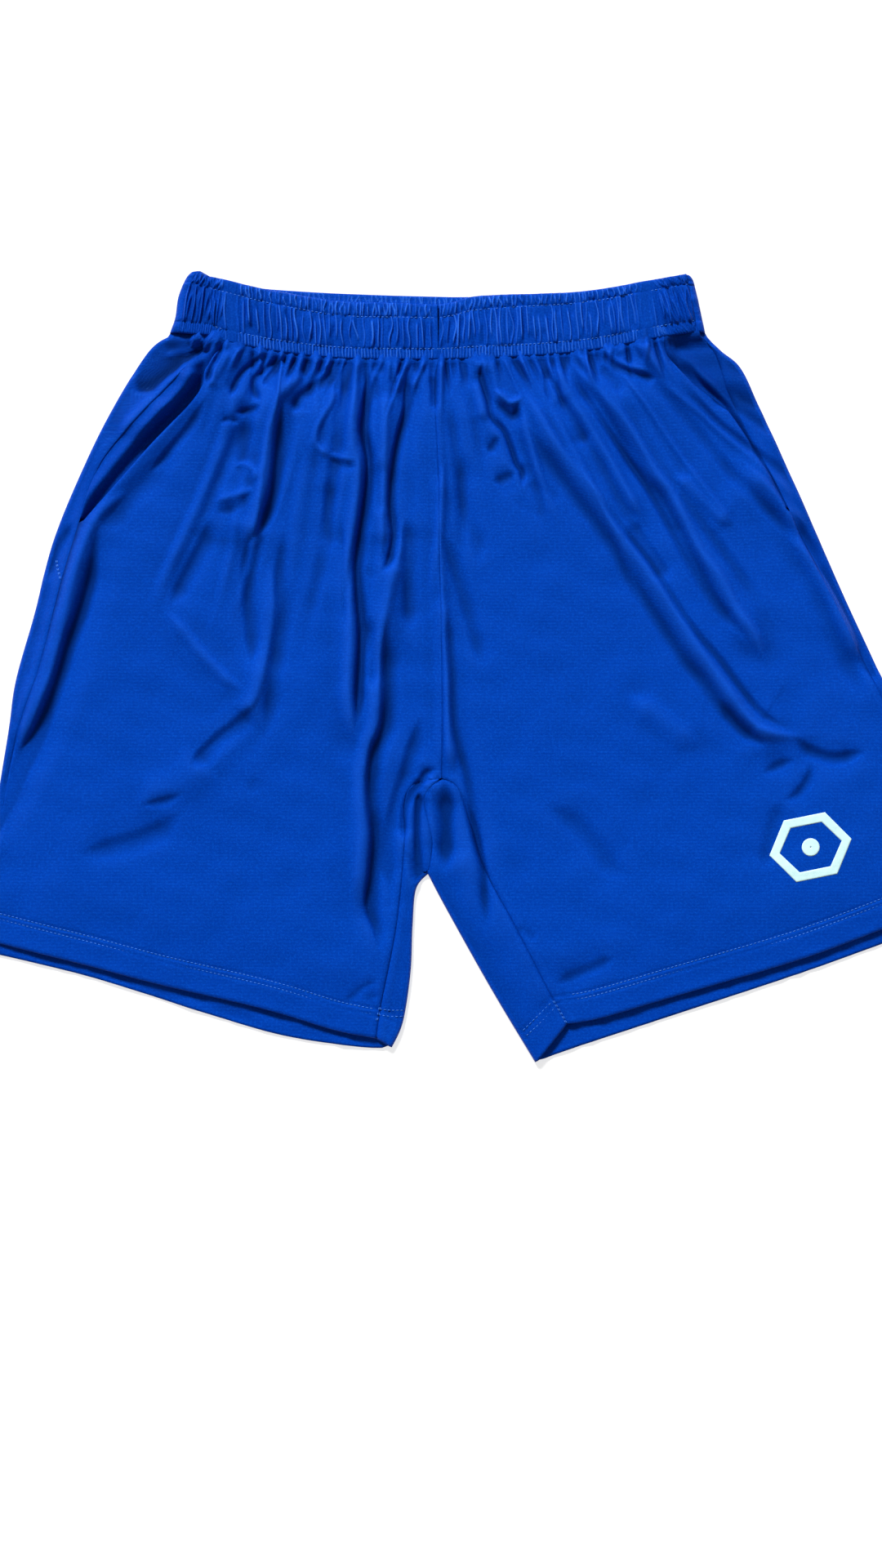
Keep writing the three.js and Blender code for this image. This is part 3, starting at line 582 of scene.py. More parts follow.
class Sheet:
    """A cloth piece: its outer face, the inner face behind it, and quads that join the points"""

    def __init__(self):
        self.outer, self.inner, self.flat = [], [], []
        self.crest, self.inner_crest, self.quads = [], [], []
        self.count = 0

    def add(self, outer, inner, flat, crest=0.0, inner_crest=0.0):
        """Adds points of any grid shape and returns their numbers in that shape"""
        shape = outer.shape[:-1]
        numbers = self.count + np.arange(int(np.prod(shape))).reshape(shape)
        self.count += numbers.size
        self.outer.append(outer.reshape(-1, 3))
        self.inner.append(inner.reshape(-1, 3))
        self.flat.append(flat.reshape(-1, 2))
        # Painted light of each point: painted highlight above 0, painted shade below 0
        self.crest.append(np.broadcast_to(crest, shape).ravel())
        self.inner_crest.append(np.broadcast_to(inner_crest, shape).ravel())
        return numbers

    def join(self, numbers):
        self.quads.append(grid_faces(numbers))

    def build(self, name):
        """Makes the object, with walls where its outer face ends"""
        quads = np.concatenate(self.quads)
        sides = np.concatenate([quads[:, [k, (k + 1) % 4]] for k in range(4)])
        known = set(map(tuple, sides.tolist()))
        rim = np.array([(a, b) for a, b in known if (b, a) not in known])
        walls = np.stack([rim[:, 1], rim[:, 0], rim[:, 0] + self.count, rim[:, 1] + self.count], axis=1)
        faces = np.concatenate([quads, quads[:, ::-1] + self.count, walls]).tolist()
        points = np.concatenate([*self.outer, *self.inner])
        crest = np.concatenate([*self.crest, *self.inner_crest])
        return mesh_object(name, points, faces, np.concatenate(self.flat * 2), crest)


def neighbours(grid, axis):
    """Values before and after each one along an axis. Those on the border are their own neighbours."""
    count = grid.shape[axis]
    before = np.take(grid, np.arange(-1, count - 1).clip(0), axis)
    after = np.take(grid, np.arange(1, count + 1).clip(max=count - 1), axis)
    return before, after


def panel_painted_light(height):
    """Painted light of each point of a grid: painted highlight above 0 on a crest, painted shade below 0 in a
    valley
    """
    soft = height
    for _ in range(CREST_REACH):
        for axis in (0, 1):
            before, after = neighbours(soft, axis)
            soft = (before + after) / 2
    stands = ((height - soft) / CREST_FULL).clip(-1, 1)
    return np.where(stands > 0, PANEL_PAINTED_HIGHLIGHT, PANEL_PAINTED_SHADE) * stands


def fine_sheet(name, outer, inner, flat, coarse):
    """Closed cloth whose hidden inner face has only every coarse-th point"""
    rows, columns = outer.shape[:2]
    index = np.arange(rows * columns).reshape(rows, columns)
    few = index[::coarse, ::coarse]
    under = rows * columns + np.arange(few.size).reshape(few.shape)
    faces = [*grid_faces(index).tolist(), *grid_faces(under[:, ::-1]).tolist()]
    corners = (np.s_[0], np.s_[:, -1], np.s_[-1, ::-1], np.s_[::-1, 0])
    borders = [(index[corner], under[corner]) for corner in corners]
    for line, low in borders:
        for k in range(len(low) - 1):
            part = line[k * coarse : (k + 1) * coarse + 1].tolist()
            faces.append([*part[::-1], int(low[k]), int(low[k + 1])])
    points = np.concatenate([outer.reshape(-1, 3), inner[::coarse, ::coarse].reshape(-1, 3)])
    spread = np.concatenate([flat.reshape(-1, 2), flat[::coarse, ::coarse].reshape(-1, 2)])
    # Painted highlight on the outer face's crests and painted shade in its valleys; none on the hidden inner
    # face
    crest = np.concatenate([panel_painted_light(outer[..., 2]).ravel(), np.zeros(few.size)])
    return mesh_object(name, points, faces, spread, crest)


def grid_faces(numbers):
    """Four point numbers for each cell of a grid"""
    quads = [numbers[:-1, :-1], numbers[:-1, 1:], numbers[1:, 1:], numbers[1:, :-1]]
    return np.stack(quads, axis=-1).reshape(-1, 4)


def mesh_object(name, points, faces, flat, crest):
    """Object from points in millimetres, with a flat map in metres and its normals outward"""
    mesh = bpy.data.meshes.new(name)
    mesh.from_pydata((points * MM).tolist(), [], faces)
    layer = mesh.uv_layers.new(name="cloth")
    loops = np.empty(len(mesh.loops), np.int32)
    mesh.loops.foreach_get("vertex_index", loops)
    layer.data.foreach_set("uv", (flat[loops] * MM).astype(np.float32).ravel())
    mesh.shade_smooth()
    form = bmesh.new()
    form.from_mesh(mesh)
    if form.calc_volume(signed=True) < 0:
        bmesh.ops.reverse_faces(form, faces=form.faces)
        form.to_mesh(mesh)
    form.free()
    # Point attribute of painted light that the cloth materials read
    mesh.attributes.new("crest", "FLOAT", "POINT").data.foreach_set("value", crest.astype(np.float32))
    mesh.update()
    made = bpy.data.objects.new(name, mesh)
    bpy.context.scene.collection.objects.link(made)
    return made


def close_shares(parts, length, close=0.8):
    """Equal parts whose first and last are narrow, for a crisp edge"""
    shares = np.linspace(0, 1, parts + 1)
    shares[1] = close / length
    shares[-2] = 1 - close / length
    return shares


def lines_of(half, parts):
    """Lines that neighbouring pieces share, divided in the same shares"""
    away = -SEAM_LAP * half["out"]
    pocket_seam = spaced(half["pocket_seam"], 6 * parts)
    side_seam = spaced(half["side_seam"], 16 * parts)
    return {
        "away": away,
        "pocket_seam": pocket_seam,
        "side_seam": side_seam,
        "seam": joined(pocket_seam, side_seam),
        "inseam": spaced(half["inseam"], 9 * parts),
        "edge": spaced(half["edge"], 22 * parts),
        "fold": spaced(half["inner_fold"], 6 * parts),
    }


def low_envelope(height, coarse):
    """Lowest height near each point of a grid, within the coarse step"""
    low = height
    for axis in (0, 1):
        for _ in range(coarse):
            low = np.minimum(low, np.minimum(*neighbours(low, axis)))
    return low


def front_panel(side):
    """Upper layer of one half, with its folds and hem"""
    half = HALVES[side]
    parts, columns, coarse = 15, 255, 5
    lines = lines_of(half, parts)
    middle = spaced(FRONT_SEAM, 13 * parts)
    inner = shifted(joined(middle, lines["inseam"]), lines["away"])
    outer = joined(spaced(half["mouth"], 6 * parts), shifted(lines["side_seam"], -lines["away"]))
    rows = len(inner) - 1
    u = close_shares(columns, 180)
    v = np.linspace(0, 1, rows + 1)
    top = spaced(half["top"], u)
    bottom = spaced(half["front_hem"], u)
    top[0], top[-1], bottom[0], bottom[-1] = inner[0], outer[0], inner[-1], outer[-1]
    for line in (inner, outer):
        line[-2] = mix(line[-1], line[-2], 0.45)
    v[-2] = 1 - 0.45 / rows
    place = filled(top, bottom, inner, outer, u, v)
    height = top_height(place)
    x, y = place[..., 0], place[..., 1]
    mouth = beside(half["mouth"], x, y)
    waist = nearest_of(WAIST_LINES, x, y)
    hem = beside(half["front_hem"], x, y)
    above = smooth((y - half["mouth"][-1][1]) / 60)
    height += 2.0 * above * smooth(1 - mouth / 22) * smooth(waist / 30)
    height -= edge_drop(mouth, 2.2, mix(0.2, 1.4, above)) + 0.3 * bell(waist / 2.0)
    height += hem_relief(hem) - edge_drop(hem, *HEM_EDGE)
    place[0, :, 1] += TUCK
    height[0] -= TUCK_DROP
    outer_face = np.dstack([place, height])
    low = np.maximum(low_envelope(height, coarse) - CLOTH, UNDER_LEAST)
    inner_face = np.dstack([place, low])
    return fine_sheet(f"front_panel_{side}_cloth", outer_face, inner_face, place, coarse)


def hem_relief(distance):
    """A hem is a little thicker below its stitches, and each row of stitches presses in"""
    relief = 0.45 * smooth((HEM_ROWS[-1] - distance) / 2)
    for row in HEM_ROWS:
        relief = relief - 0.6 * bell((distance - row) / 1.3)
    return relief


def rolled(place, side, height, reach, parts):
    """Points round an edge from the upper layer down to the floor, and their outward directions"""
    angle = np.linspace(0, math.pi, parts + 1)
    sine, cosine = np.sin(angle), np.cos(angle)
    out = np.zeros((len(place), parts + 1, 3))
    out[..., :2] = side[:, None] * sine[None, :, None]
    out[..., 2] = cosine[None]
    points = np.zeros_like(out)
    points[..., :2] = place[:, None] + side[:, None] * (np.reshape(reach, (-1, 1)) * sine[None])[..., None]
    points[..., 2] = height[:, None] / 2 * (1 + cosine)[None]
    return points, out


def hem_inner(place, half):
    """Height added to the inner face of the lower layer beside its hem: the hem's turned edge"""
    x, y = place[..., 0], place[..., 1]
    distance = beside(half["back_hem"], x, y)
    near = smooth((40 - distance) / 20)
    creases = 0.5 * near * waves(x, y, 21, 10, 9, 30)
    return hem_relief(distance) + creases + 0.3 * near


def back_panel(side):
    """Lower layer of one half, with the strips that come up round its side and its inner leg"""
    half = HALVES[side]
    parts = 11
    strip_parts, roll_parts, under_parts, flap_parts = 14, 12, 44, 18
    lines = lines_of(half, parts)
    out, away = half["out"], lines["away"]
    edge, fold = lines["edge"], lines["fold"]
    outward = across(edge) * out
    inset = edge - outward * ROLL
    seam = shifted(lines["seam"], away)
    rows = len(edge) - 1
    seam_rows = 16 * parts

    # Lower layer, from the side fold to the back seam and the inner fold
    gap_side = -across(fold) * out
    gap_side[0] = (0, -1)
    fold_inset = fold - gap_side * ROLL
    fold_inset[0] = APEX + np.array([away, ROLL])
    back_seam = shifted(spaced(BACK_SEAM, seam_rows), away)
    back_seam[-1] = fold_inset[0]
    inner = joined(back_seam, fold_inset)
    u = np.linspace(0, 1, under_parts + 1)
    v = np.linspace(0, 1, rows + 1)
    top = spaced([inset[0], half["top"][2], half["top"][1], inner[0]], u)
    bottom = spaced(half["back_hem"][::-1], u)
    top[0], top[-1], bottom[0], bottom[-1] = inset[0], inner[0], inset[-1], inner[-1]
    under = filled(top, bottom, inset, inner, u, v)

    sheet = Sheet()
    shares = np.linspace(0, 1, strip_parts + 1)[None, :-1, None]
    strip = mix(seam[:, None], inset[:, None], shares)
    side_hem = ([half["front_hem"][-1], half["back_hem"][-1]], STRIP_HEM)
    strip_height = turned_height(strip, *side_hem)
    strip_top = np.dstack([strip, strip_height])
    round_top, round_out = rolled(inset, outward, turned_height(inset, *side_hem), ROLL, roll_parts)
    under = under[:, 1:]
    x, y = under[..., 0], under[..., 1]
    inside = smooth(nearest_of([spaced(half["edge"], 24), spaced(half["back_hem"], 24)], x, y) / 30)
    trough = inside * 0.9 * bell(waves(x, y, 31, 6, 60, 140) / 0.16)
    outer_low = np.dstack([under, trough])
    inner_low = np.dstack([under, CLOTH + trough + hem_inner(under, half)])
    outer_rows = np.concatenate([strip_top, round_top, outer_low], axis=1)
    inner_rows = np.concatenate([strip_top - [0, 0, CLOTH], round_top - round_out * CLOTH, inner_low], axis=1)
    for face in (outer_rows, inner_rows):
        face[0, :, 0] -= TUCK / 2 * out
        face[0, :, 1] += TUCK
        face[0, : strip_parts + roll_parts // 2, 2] -= TUCK_DROP
    # Painted highlight on the side strip's crests and painted shade in its valleys, with more painted shade
    # towards its top beside the pocket mouth
    crest = np.zeros(outer_rows.shape[:2])
    shade = FACING_SHADE[side] * smooth((strip[..., 1] - 165) / 40)
    crest[:, :strip_parts] = panel_painted_light(strip_height) - shade
    numbers = sheet.add(outer_rows, inner_rows, spread_map(outer_rows), crest)
    sheet.join(numbers)

    # Roll round the inner leg, and the flap that comes up to the inseam
    leg_hem = ([half["inner_fold"][-1], half["inseam"][-1]], FLAP_HEM)
    fold_top, fold_out = rolled(fold_inset, gap_side, turned_height(fold_inset, *leg_hem), ROLL, roll_parts)
    fold_top, fold_out = fold_top[:, ::-1], fold_out[:, ::-1]
    turned = sheet.add(fold_top[:, 1:], (fold_top - fold_out * CLOTH)[:, 1:], spread_map(fold_top)[:, 1:])
    turned = np.concatenate([numbers[seam_rows:, -1:], turned], axis=1)
    sheet.join(turned)
    flap_seam = shifted(spaced(FLAP_SEAM, 3 * parts), away)
    leg_seam = shifted(lines["inseam"], -away)
    start = mix(flap_seam[parts], leg_seam[parts], 0.5)
    tip = mix(np.array(CROTCH), start, 2 / np.linalg.norm(start - CROTCH))
    flap_seam[0], leg_seam[0] = mix(tip, flap_seam[parts], 0.02), mix(tip, leg_seam[parts], 0.02)
    begin = joined(flap_seam, fold_inset)
    shares = np.linspace(0, 1, flap_parts + 1)[None, :, None]
    flap = mix(begin[:, None], leg_seam[:, None], shares)
    flap_top = np.dstack([flap, turned_height(flap, *leg_hem)])
    flap_low = flap_top - [0, 0, CLOTH]
    # The flap gets painted highlight on its crests and painted shade in its valleys
    numbers = sheet.add(flap_top, flap_low, spread_map(flap_top), panel_painted_light(flap_top[..., 2]))
    numbers[3 * parts :, 0] = turned[:, -1]
    sheet.join(numbers)
    return sheet.build(f"back_panel_{side}_cloth")


def spread_map(grid):
    """Flat places of a grid's points, measured along the cloth"""
    runs = np.linalg.norm(np.diff(grid, axis=1), axis=2)
    u = np.concatenate([np.zeros((len(grid), 1)), np.cumsum(runs, axis=1)], axis=1)
    return np.dstack([grid[:, :1, 0] + u, grid[..., 1]])


def turned_height(place, hem_ends, below):
    """Upper layer where the back comes round an edge. Its hem, between two points, continues the front's."""
    x, y = place[..., 0], place[..., 1]
    hem = beside(hem_ends, x, y, 4)
    return top_height(place) + hem_relief(hem) * (y < below) - edge_drop(hem, *HEM_EDGE)


def pocket_facing(side):
    """Cloth inside a pocket's mouth. It starts under the front panel and ends at the pocket's seam."""
    half = HALVES[side]
    parts, columns, under = 11, 42, 24
    lines = lines_of(half, parts)
    outer = shifted(lines["pocket_seam"], -lines["away"])[: 6 * parts]
    begin = spaced(half["mouth"], 6 * parts)[: 6 * parts] - [half["out"] * under, 0]
    share = np.linspace(0, 1, columns + 1)[None, :]
    place = mix(begin[:, None], outer[:, None], share[..., None])
    whole = np.linalg.norm(outer - begin, axis=1)[:, None]
    seen = share * whole - under
    width = whole - under
    rise = smooth((seen - 1) / np.clip(0.8 * width, 2, 9))
    surface = top_height(place)
    at_seam = surface[:, -1:] - 0.4
    waist = nearest_of(WAIST_LINES, place[..., 0], place[..., 1])
    shallow = surface - mix(0.2, 1.2, smooth(width / 9))
    deep = np.minimum(surface - 4.6, 2.8)
    height = mix(mix(shallow, deep, smooth((waist - 9) / 22) * smooth(width / 7)), at_seam, rise)
    height += 3.6 * smooth(width / 16) * bell((seen - 10) / 9) * smooth(waist / 25)
    height = np.maximum(height, 2.7) + 1.6 * smooth(seen / 3) * smooth(1 - waist / 12)
    place[0, :, 1] += TUCK
    height[0] -= TUCK_DROP
    face = np.dstack([place, height])
    sheet = Sheet()
    # The facing is given painted shade all over
    sheet.join(sheet.add(face, face - [0, 0, CLOTH], place, -FACING_SHADE[side]))
    return sheet.build(f"pocket_facing_{side}_cloth")


def gathers(along, share, zone, ridges, seed, slant=0.0, ear=math.inf):
    """Thin ridges across one strip of the band, pinned at both of its stitched edges"""
    pitch, width, height, uneven = ridges
    rng = np.random.default_rng(seed)
    start, end = zone
    inside = np.clip((share - start) / (end - start), 0, 1)
    total = np.zeros(along.shape)
    at = along.min() - pitch
    while at < along.max() + pitch:
        in_ear = at > ear
        at += pitch * mix(1, rng.uniform(0.55, 1.5), uneven) * (EAR_CLOSE if in_ear else 1)
        lean = uneven * rng.normal(slant, 0.9) + (rng.uniform(2, 7) if in_ear else 0)
        sway = uneven * rng.normal(0, 0.5)
        first = mix(-0.6, rng.uniform(-0.6, 0.25), uneven)
        last = mix(1.6, rng.uniform(0.75, 1.6), uneven)
        thin = width * rng.uniform(0.8, 1.25)
        tall = height * rng.uniform(0.55, 1.2) * (EAR_TALL if in_ear else 1)
        line = at + lean * (inside - 0.5) + sway * np.sin(2 * math.pi * inside + at)
        length = smooth((inside - first) / 0.2) * smooth((last - inside) / 0.2)
        total = np.maximum(total, tall * bell((along - line) / thin) * length)
    pinned = 0.35 + 0.65 * np.sin(math.pi * inside).clip(0) ** 0.3
    return total * pinned * ((share >= start) & (share <= end))


def upper_stitch(x):
    """Share down the band of its upper stitches, lower down near the middle"""
    return UPPER_STITCH + 0.075 * np.exp(-(((x + 60) / 95) ** 2))


def band_stops(x):
    """Shares down the band of its top edge, its two rows of stitches and its bottom edge"""
    return [0 * x, upper_stitch(x), 0 * x + LOWER_STITCH, 0 * x + 1]


def band_shares(x, counts=(9, 17, 9)):
    """Shares down the band at each column, closer beside its stitches"""
    stops = band_stops(x)
    rows = [stops[0]]
    for start, end, count in zip(stops, stops[1:], counts):
        t = np.linspace(0, 1, count + 1)[1:]
        rows += [mix(start, end, value) for value in mix(t, smooth(t), 0.7)]
    return np.array(rows)


def band_grid(half, u):
    """Lines along the band's top and bottom edges, at shares of their length"""
    return spaced(half["band_top"], u), spaced([*half["top"], half["band_seam"][1]], u)


def band_relief(x, along, share, seed, strength=1.0, slant=0.0, closer=1.0, ear=math.inf):
    """Gathers and stitched grooves of the band, and its painted light: painted highlight on the pleats'
    crests, weaker at the ends, less a painted shade over the whole band that is deeper at the ends
    """
    calm = np.ones(x.shape)
    for middle, reach in FLAT_PATCHES:
        calm *= 1 - bell((x - middle) / (reach * 1.6)) * 0.95
    stops = band_stops(x)
    in_ear = smooth((along - ear) / 8)
    relief = np.zeros(x.shape)
    crest = np.zeros(x.shape)
    for k, (start, end, (pitch, width, height, uneven)) in enumerate(zip(stops, stops[1:], GATHERS)):
        pitch = pitch / closer
        broad = (pitch * 1.3, width * 2.8, height * 0.8 * uneven, uneven)
        soft = gathers(along, share, (start, end), broad, seed + 10 + k, slant, ear)
        thin = gathers(along, share, (start, end), (pitch, width, height, uneven), seed + k, slant, ear)
        relief += (soft + thin) * calm * strength
        crest += (thin / height) ** 1.5 * calm * mix(1, 0.35, in_ear)
    for groove in stops[1:3]:
        relief -= 0.15 * bell((share - groove) * BAND_HIGH / 1.0)
    relief -= edge_drop(share * BAND_HIGH, 1.8, 1.4) + edge_drop((1 - share) * BAND_HIGH, 1.5, 0.8)
    relief -= 0.5 * smooth((share - 0.75) / 0.25) + 0.8 * strength * calm
    # Painted highlight on the pleats' crests, less a painted shade over the whole band, deeper towards the
    # ends
    return relief, 1.15 * crest.clip(0, 1) - mix(0.15, 0.3, in_ear)


def front_band(side):
    """Gathered front of the band on one half"""
    half = HALVES[side]
    high, low = band_grid(half, close_shares(440, 170, 0.3))
    away = -SEAM_LAP * half["out"]
    for line in (low, high):
        line[0, 0] += away
        line[-1, 0] -= away
    share = band_shares(high[:, 0])
    place = mix(high[None], low[None], share[..., None])
    x, y = place[..., 0], place[..., 1]
    run = run_of(low)
    along = np.broadcast_to(run[None], x.shape)
    seed = 100 if side == "right" else 200
    # The band's relief, and its painted highlight and painted shade
    relief, crest = band_relief(x, along, share, seed, ear=run[-1] - EAR_FROM_END[side])
    level = band_height(half, x, y)
    seam = np.minimum(np.abs(x - WAIST[0]), beside(half["band_seam"], x, y, 8))
    height = level + relief - 0.25 * bell(seam / 1.0) - 0.25 * bell((x + 19) / 0.9)
    height += 0.3 * waves(x, y, seed, 10, 12, 40)
    face = np.dstack([place, height])
    floor = np.minimum(level - 0.6, height - 0.8) - ELASTIC + 1.2
    sheet = Sheet()
    flat = np.dstack([along, -share * BAND_HIGH])
    sheet.join(sheet.add(face, np.dstack([place, floor]), flat, crest))
    return sheet.build(f"waistband_front_{side}_cloth")


def back_band(side):
    """Back of the band: the strip that comes round the side, the roll, and the layer underneath"""
    half = HALVES[side]
    out = half["out"]
    strip_parts, roll_parts, under_parts = (60, 16, 250) if side == "right" else (24, 16, 250)
    share = band_shares(np.full(1, half["band_edge"][0][0]))[:, 0]
    edge = spaced(half["band_edge"], share)
    seam = spaced(half["band_seam"], share)
    seam[:, 0] -= SEAM_LAP * out
    corner = 1 - np.clip(share * BAND_HIGH / EAR_CORNER, 0, 1)
    edge[:, 0] -= out * EAR_CORNER * 0.5 * (1 - np.sqrt(1 - corner**2))
    reach = np.minimum(BAND_ROLL, np.abs(edge[:, 0] - seam[:, 0]) * 0.8)
    inset = edge - np.stack([out * reach, 0 * reach], axis=1)
    strip = mix(seam[:, None], inset[:, None], np.linspace(0, 1, strip_parts + 1)[None, :-1, None])

    def lying(place):
        """Height and painted light of the strip at rows of places"""
        x, y = place[..., 0], place[..., 1]
        down = np.broadcast_to(share[:, None], x.shape)
        relief, crest = band_relief(x, x, down, 330 + out, 1.3, 4.5 * out, 1.45)
        return band_height(half, x, y) + relief, crest

    height, strip_painted_light = lying(strip)
    first = np.dstack([strip, height - 0.4 * bell((strip[..., 0] - seam[:, :1]) / 1.4)])
    height = lying(inset[:, None])[0][:, 0]
    sideways = np.tile([float(out), 0.0], (len(inset), 1))
    turned, turn_out = rolled(inset, sideways, height, reach, roll_parts)

    u = np.linspace(0, 1, under_parts + 1)
    top_line = spaced(half["back_band_top"][::-1], u)[1:]
    bottom_line = spaced([half["band_edge"][-1], half["top"][-1], half["top"][1], WAIST], u)[1:]
    goal = mix(top_line[None], bottom_line[None], share[:, None, None])
    under = mix(inset[:, None], goal, smooth(u[1:] * 3)[None, :, None])
    under[:, -1, 0] -= SEAM_LAP * out
    under[..., 1] += 1.2 * share[:, None]
    x = under[..., 0]
    down = np.broadcast_to(share[:, None], x.shape)
    inner_relief = gathers(x, down, (0 * x, 0 * x + 0.2), INNER_GATHERS, 400 + out, 0.8)
    below = np.dstack([under, 0.5 * edge_drop(down * BAND_HIGH, 1.5, 1.0)])
    inside = np.dstack([under, ELASTIC + 0.4 + inner_relief - edge_drop(down * BAND_HIGH, 2.0, 1.2)])

    outer = np.concatenate([first, turned, below], axis=1)
    inner = np.concatenate([first - [0, 0, BACK_WALL], turned - turn_out * BACK_WALL, inside], axis=1)
    flat = spread_map(outer)
    flat[..., 1] = -share[:, None] * BAND_HIGH
    crest, inner_crest = np.zeros((2, *outer.shape[:2]))
    # Painted highlight on the strip's pleats less a painted shade over the strip, and painted highlight on
    # the crests of the inner gathers
    crest[:, :strip_parts] = 0.6 * strip_painted_light - 0.35
    inner_crest[:, -under_parts:] = inner_relief.clip(0, 1) ** 1.5
    sheet = Sheet()
    sheet.join(sheet.add(outer, inner, flat, crest, inner_crest))
    return sheet.build(f"waistband_back_{side}_cloth")


def printed(name, outline_outer, outline_inner):
    """Thin print between two closed outlines, just above the panel it lies on"""
    shares = np.linspace(0, 1, 9)[:, None, None]
    place = mix(outline_outer[None], outline_inner[None], shares)
    height = top_height(place) + PRINT_LIFT
    edge = np.minimum(shares[..., 0], 1 - shares[..., 0]) * 6
    face = np.dstack([place, height - edge_drop(edge, 0.8, 0.15)])
    sheet = Sheet()
    numbers = sheet.add(face, face - [0, 0, PRINT_THICKNESS], place)
    sheet.join(np.concatenate([numbers, numbers[:, :1]], axis=1))
    return sheet.build(name)


def placed(points):
    """Turns points about the motif's middle and moves them to its place"""
    cosine, sine = math.cos(MOTIF_TURN), math.sin(MOTIF_TURN)
    return MOTIF_CENTRE + points @ np.array([[cosine, sine], [-sine, cosine]])


def hexagon(width, height, steps=20):
    """Closed outline with six corners, at the motif's place"""
    angles = np.arange(7) * math.pi / 3
    tall = height / 2 / math.sin(math.pi / 3)
    corners = np.stack([np.cos(angles) * width / 2, np.sin(angles) * tall], axis=1)
    share = np.linspace(0, 1, steps, endpoint=False)[:, None]
    return placed(np.vstack([mix(a, b, share) for a, b in zip(corners, corners[1:])]))


def circle(diameter, steps=64):
    """Closed round outline, at the motif's place"""
    angles = np.arange(steps) * 2 * math.pi / steps
    return placed(np.stack([np.cos(angles), np.sin(angles)], axis=1) * diameter / 2)


# Materials


def feed(tree, socket, value):
    """Links a socket to another one, or sets it to a value"""
    if isinstance(value, bpy.types.NodeSocket):
        tree.links.new(value, socket)
    else:
        socket.default_value = value


def node(tree, kind, settings=None, **inputs):
    """New node with its properties set and its inputs fed"""
    made = tree.nodes.new(kind)
    for key, value in (settings or {}).items():
        setattr(made, key, value)
    for key, value in inputs.items():
        feed(tree, made.inputs[key.replace("_", " ")], value)
    return made


def maths(tree, operation, *values):
    """Maths on sockets or numbers"""
    made = node(tree, "ShaderNodeMath", {"operation": operation})
    for socket, value in zip(made.inputs, values):
        feed(tree, socket, value)
    return made.outputs[0]


def mixed(tree, factor, first, second):
    """Mix of two colours, each a socket or four numbers"""
    made = node(tree, "ShaderNodeMix", {"data_type": "RGBA"}, Factor=factor, A=first, B=second)
    return made.outputs["Result"]


def sockets(tree, way, kind, names):
    """Adds sockets to a node group, with their starting values where they have one"""
    for name in names:
        made = tree.interface.new_socket(name, in_out=way, socket_type="NodeSocket" + kind)
        if isinstance(names, dict):
            made.default_value = names[name]


def knit_group():
    """Knit loops: gives their height, a mask of light flecks and a soft variation, from a place in metres"""
    group = bpy.data.node_groups.new("Knit surface", "ShaderNodeTree")
    sockets(group, "INPUT", "Vector", ["Place"])
    sockets(group, "INPUT", "Float", {"Loop width": 0.0011, "Loop height": 0.0008})
    sockets(group, "OUTPUT", "Float", ["Height", "Fleck", "Variation"])
    start = group.nodes.new("NodeGroupInput").outputs
    parts = node(group, "ShaderNodeSeparateXYZ", Vector=start["Place"]).outputs
    column = maths(group, "DIVIDE", parts["X"], start["Loop width"])
    row = maths(group, "DIVIDE", parts["Y"], start["Loop height"])
    across_loop = maths(group, "PINGPONG", column, 0.5)
    rib = maths(group, "SINE", maths(group, "MULTIPLY", across_loop, 2 * math.pi))
    slope = maths(group, "ADD", row, across_loop)
    loop = maths(group, "SINE", maths(group, "MULTIPLY", slope, 2 * math.pi))
    height = maths(group, "MULTIPLY", rib, maths(group, "MULTIPLY_ADD", loop, 0.5))
    fleck = node(group, "ShaderNodeTexNoise", Vector=start["Place"], **FLECK_NOISE).outputs["Fac"]
    spots = node(group, "ShaderNodeMapRange", Value=fleck, **FLECK_RANGE).outputs["Result"]
    broad = node(group, "ShaderNodeTexNoise", Vector=start["Place"], **BROAD_NOISE).outputs["Fac"]
    node(group, "NodeGroupOutput", Height=height, Fleck=spots, Variation=broad)
    return group


def new_material(name):
    """New material, with its nodes and its surface shader"""
    material = bpy.data.materials.new(name)
    material.use_nodes = True
    tree = material.node_tree
    return material, tree, next(n for n in tree.nodes if n.type == "BSDF_PRINCIPLED")


def shaded(colour, share):
    """Colour made darker or lighter"""
    return (*[min(share * c, 1) for c in colour[:3]], 1)


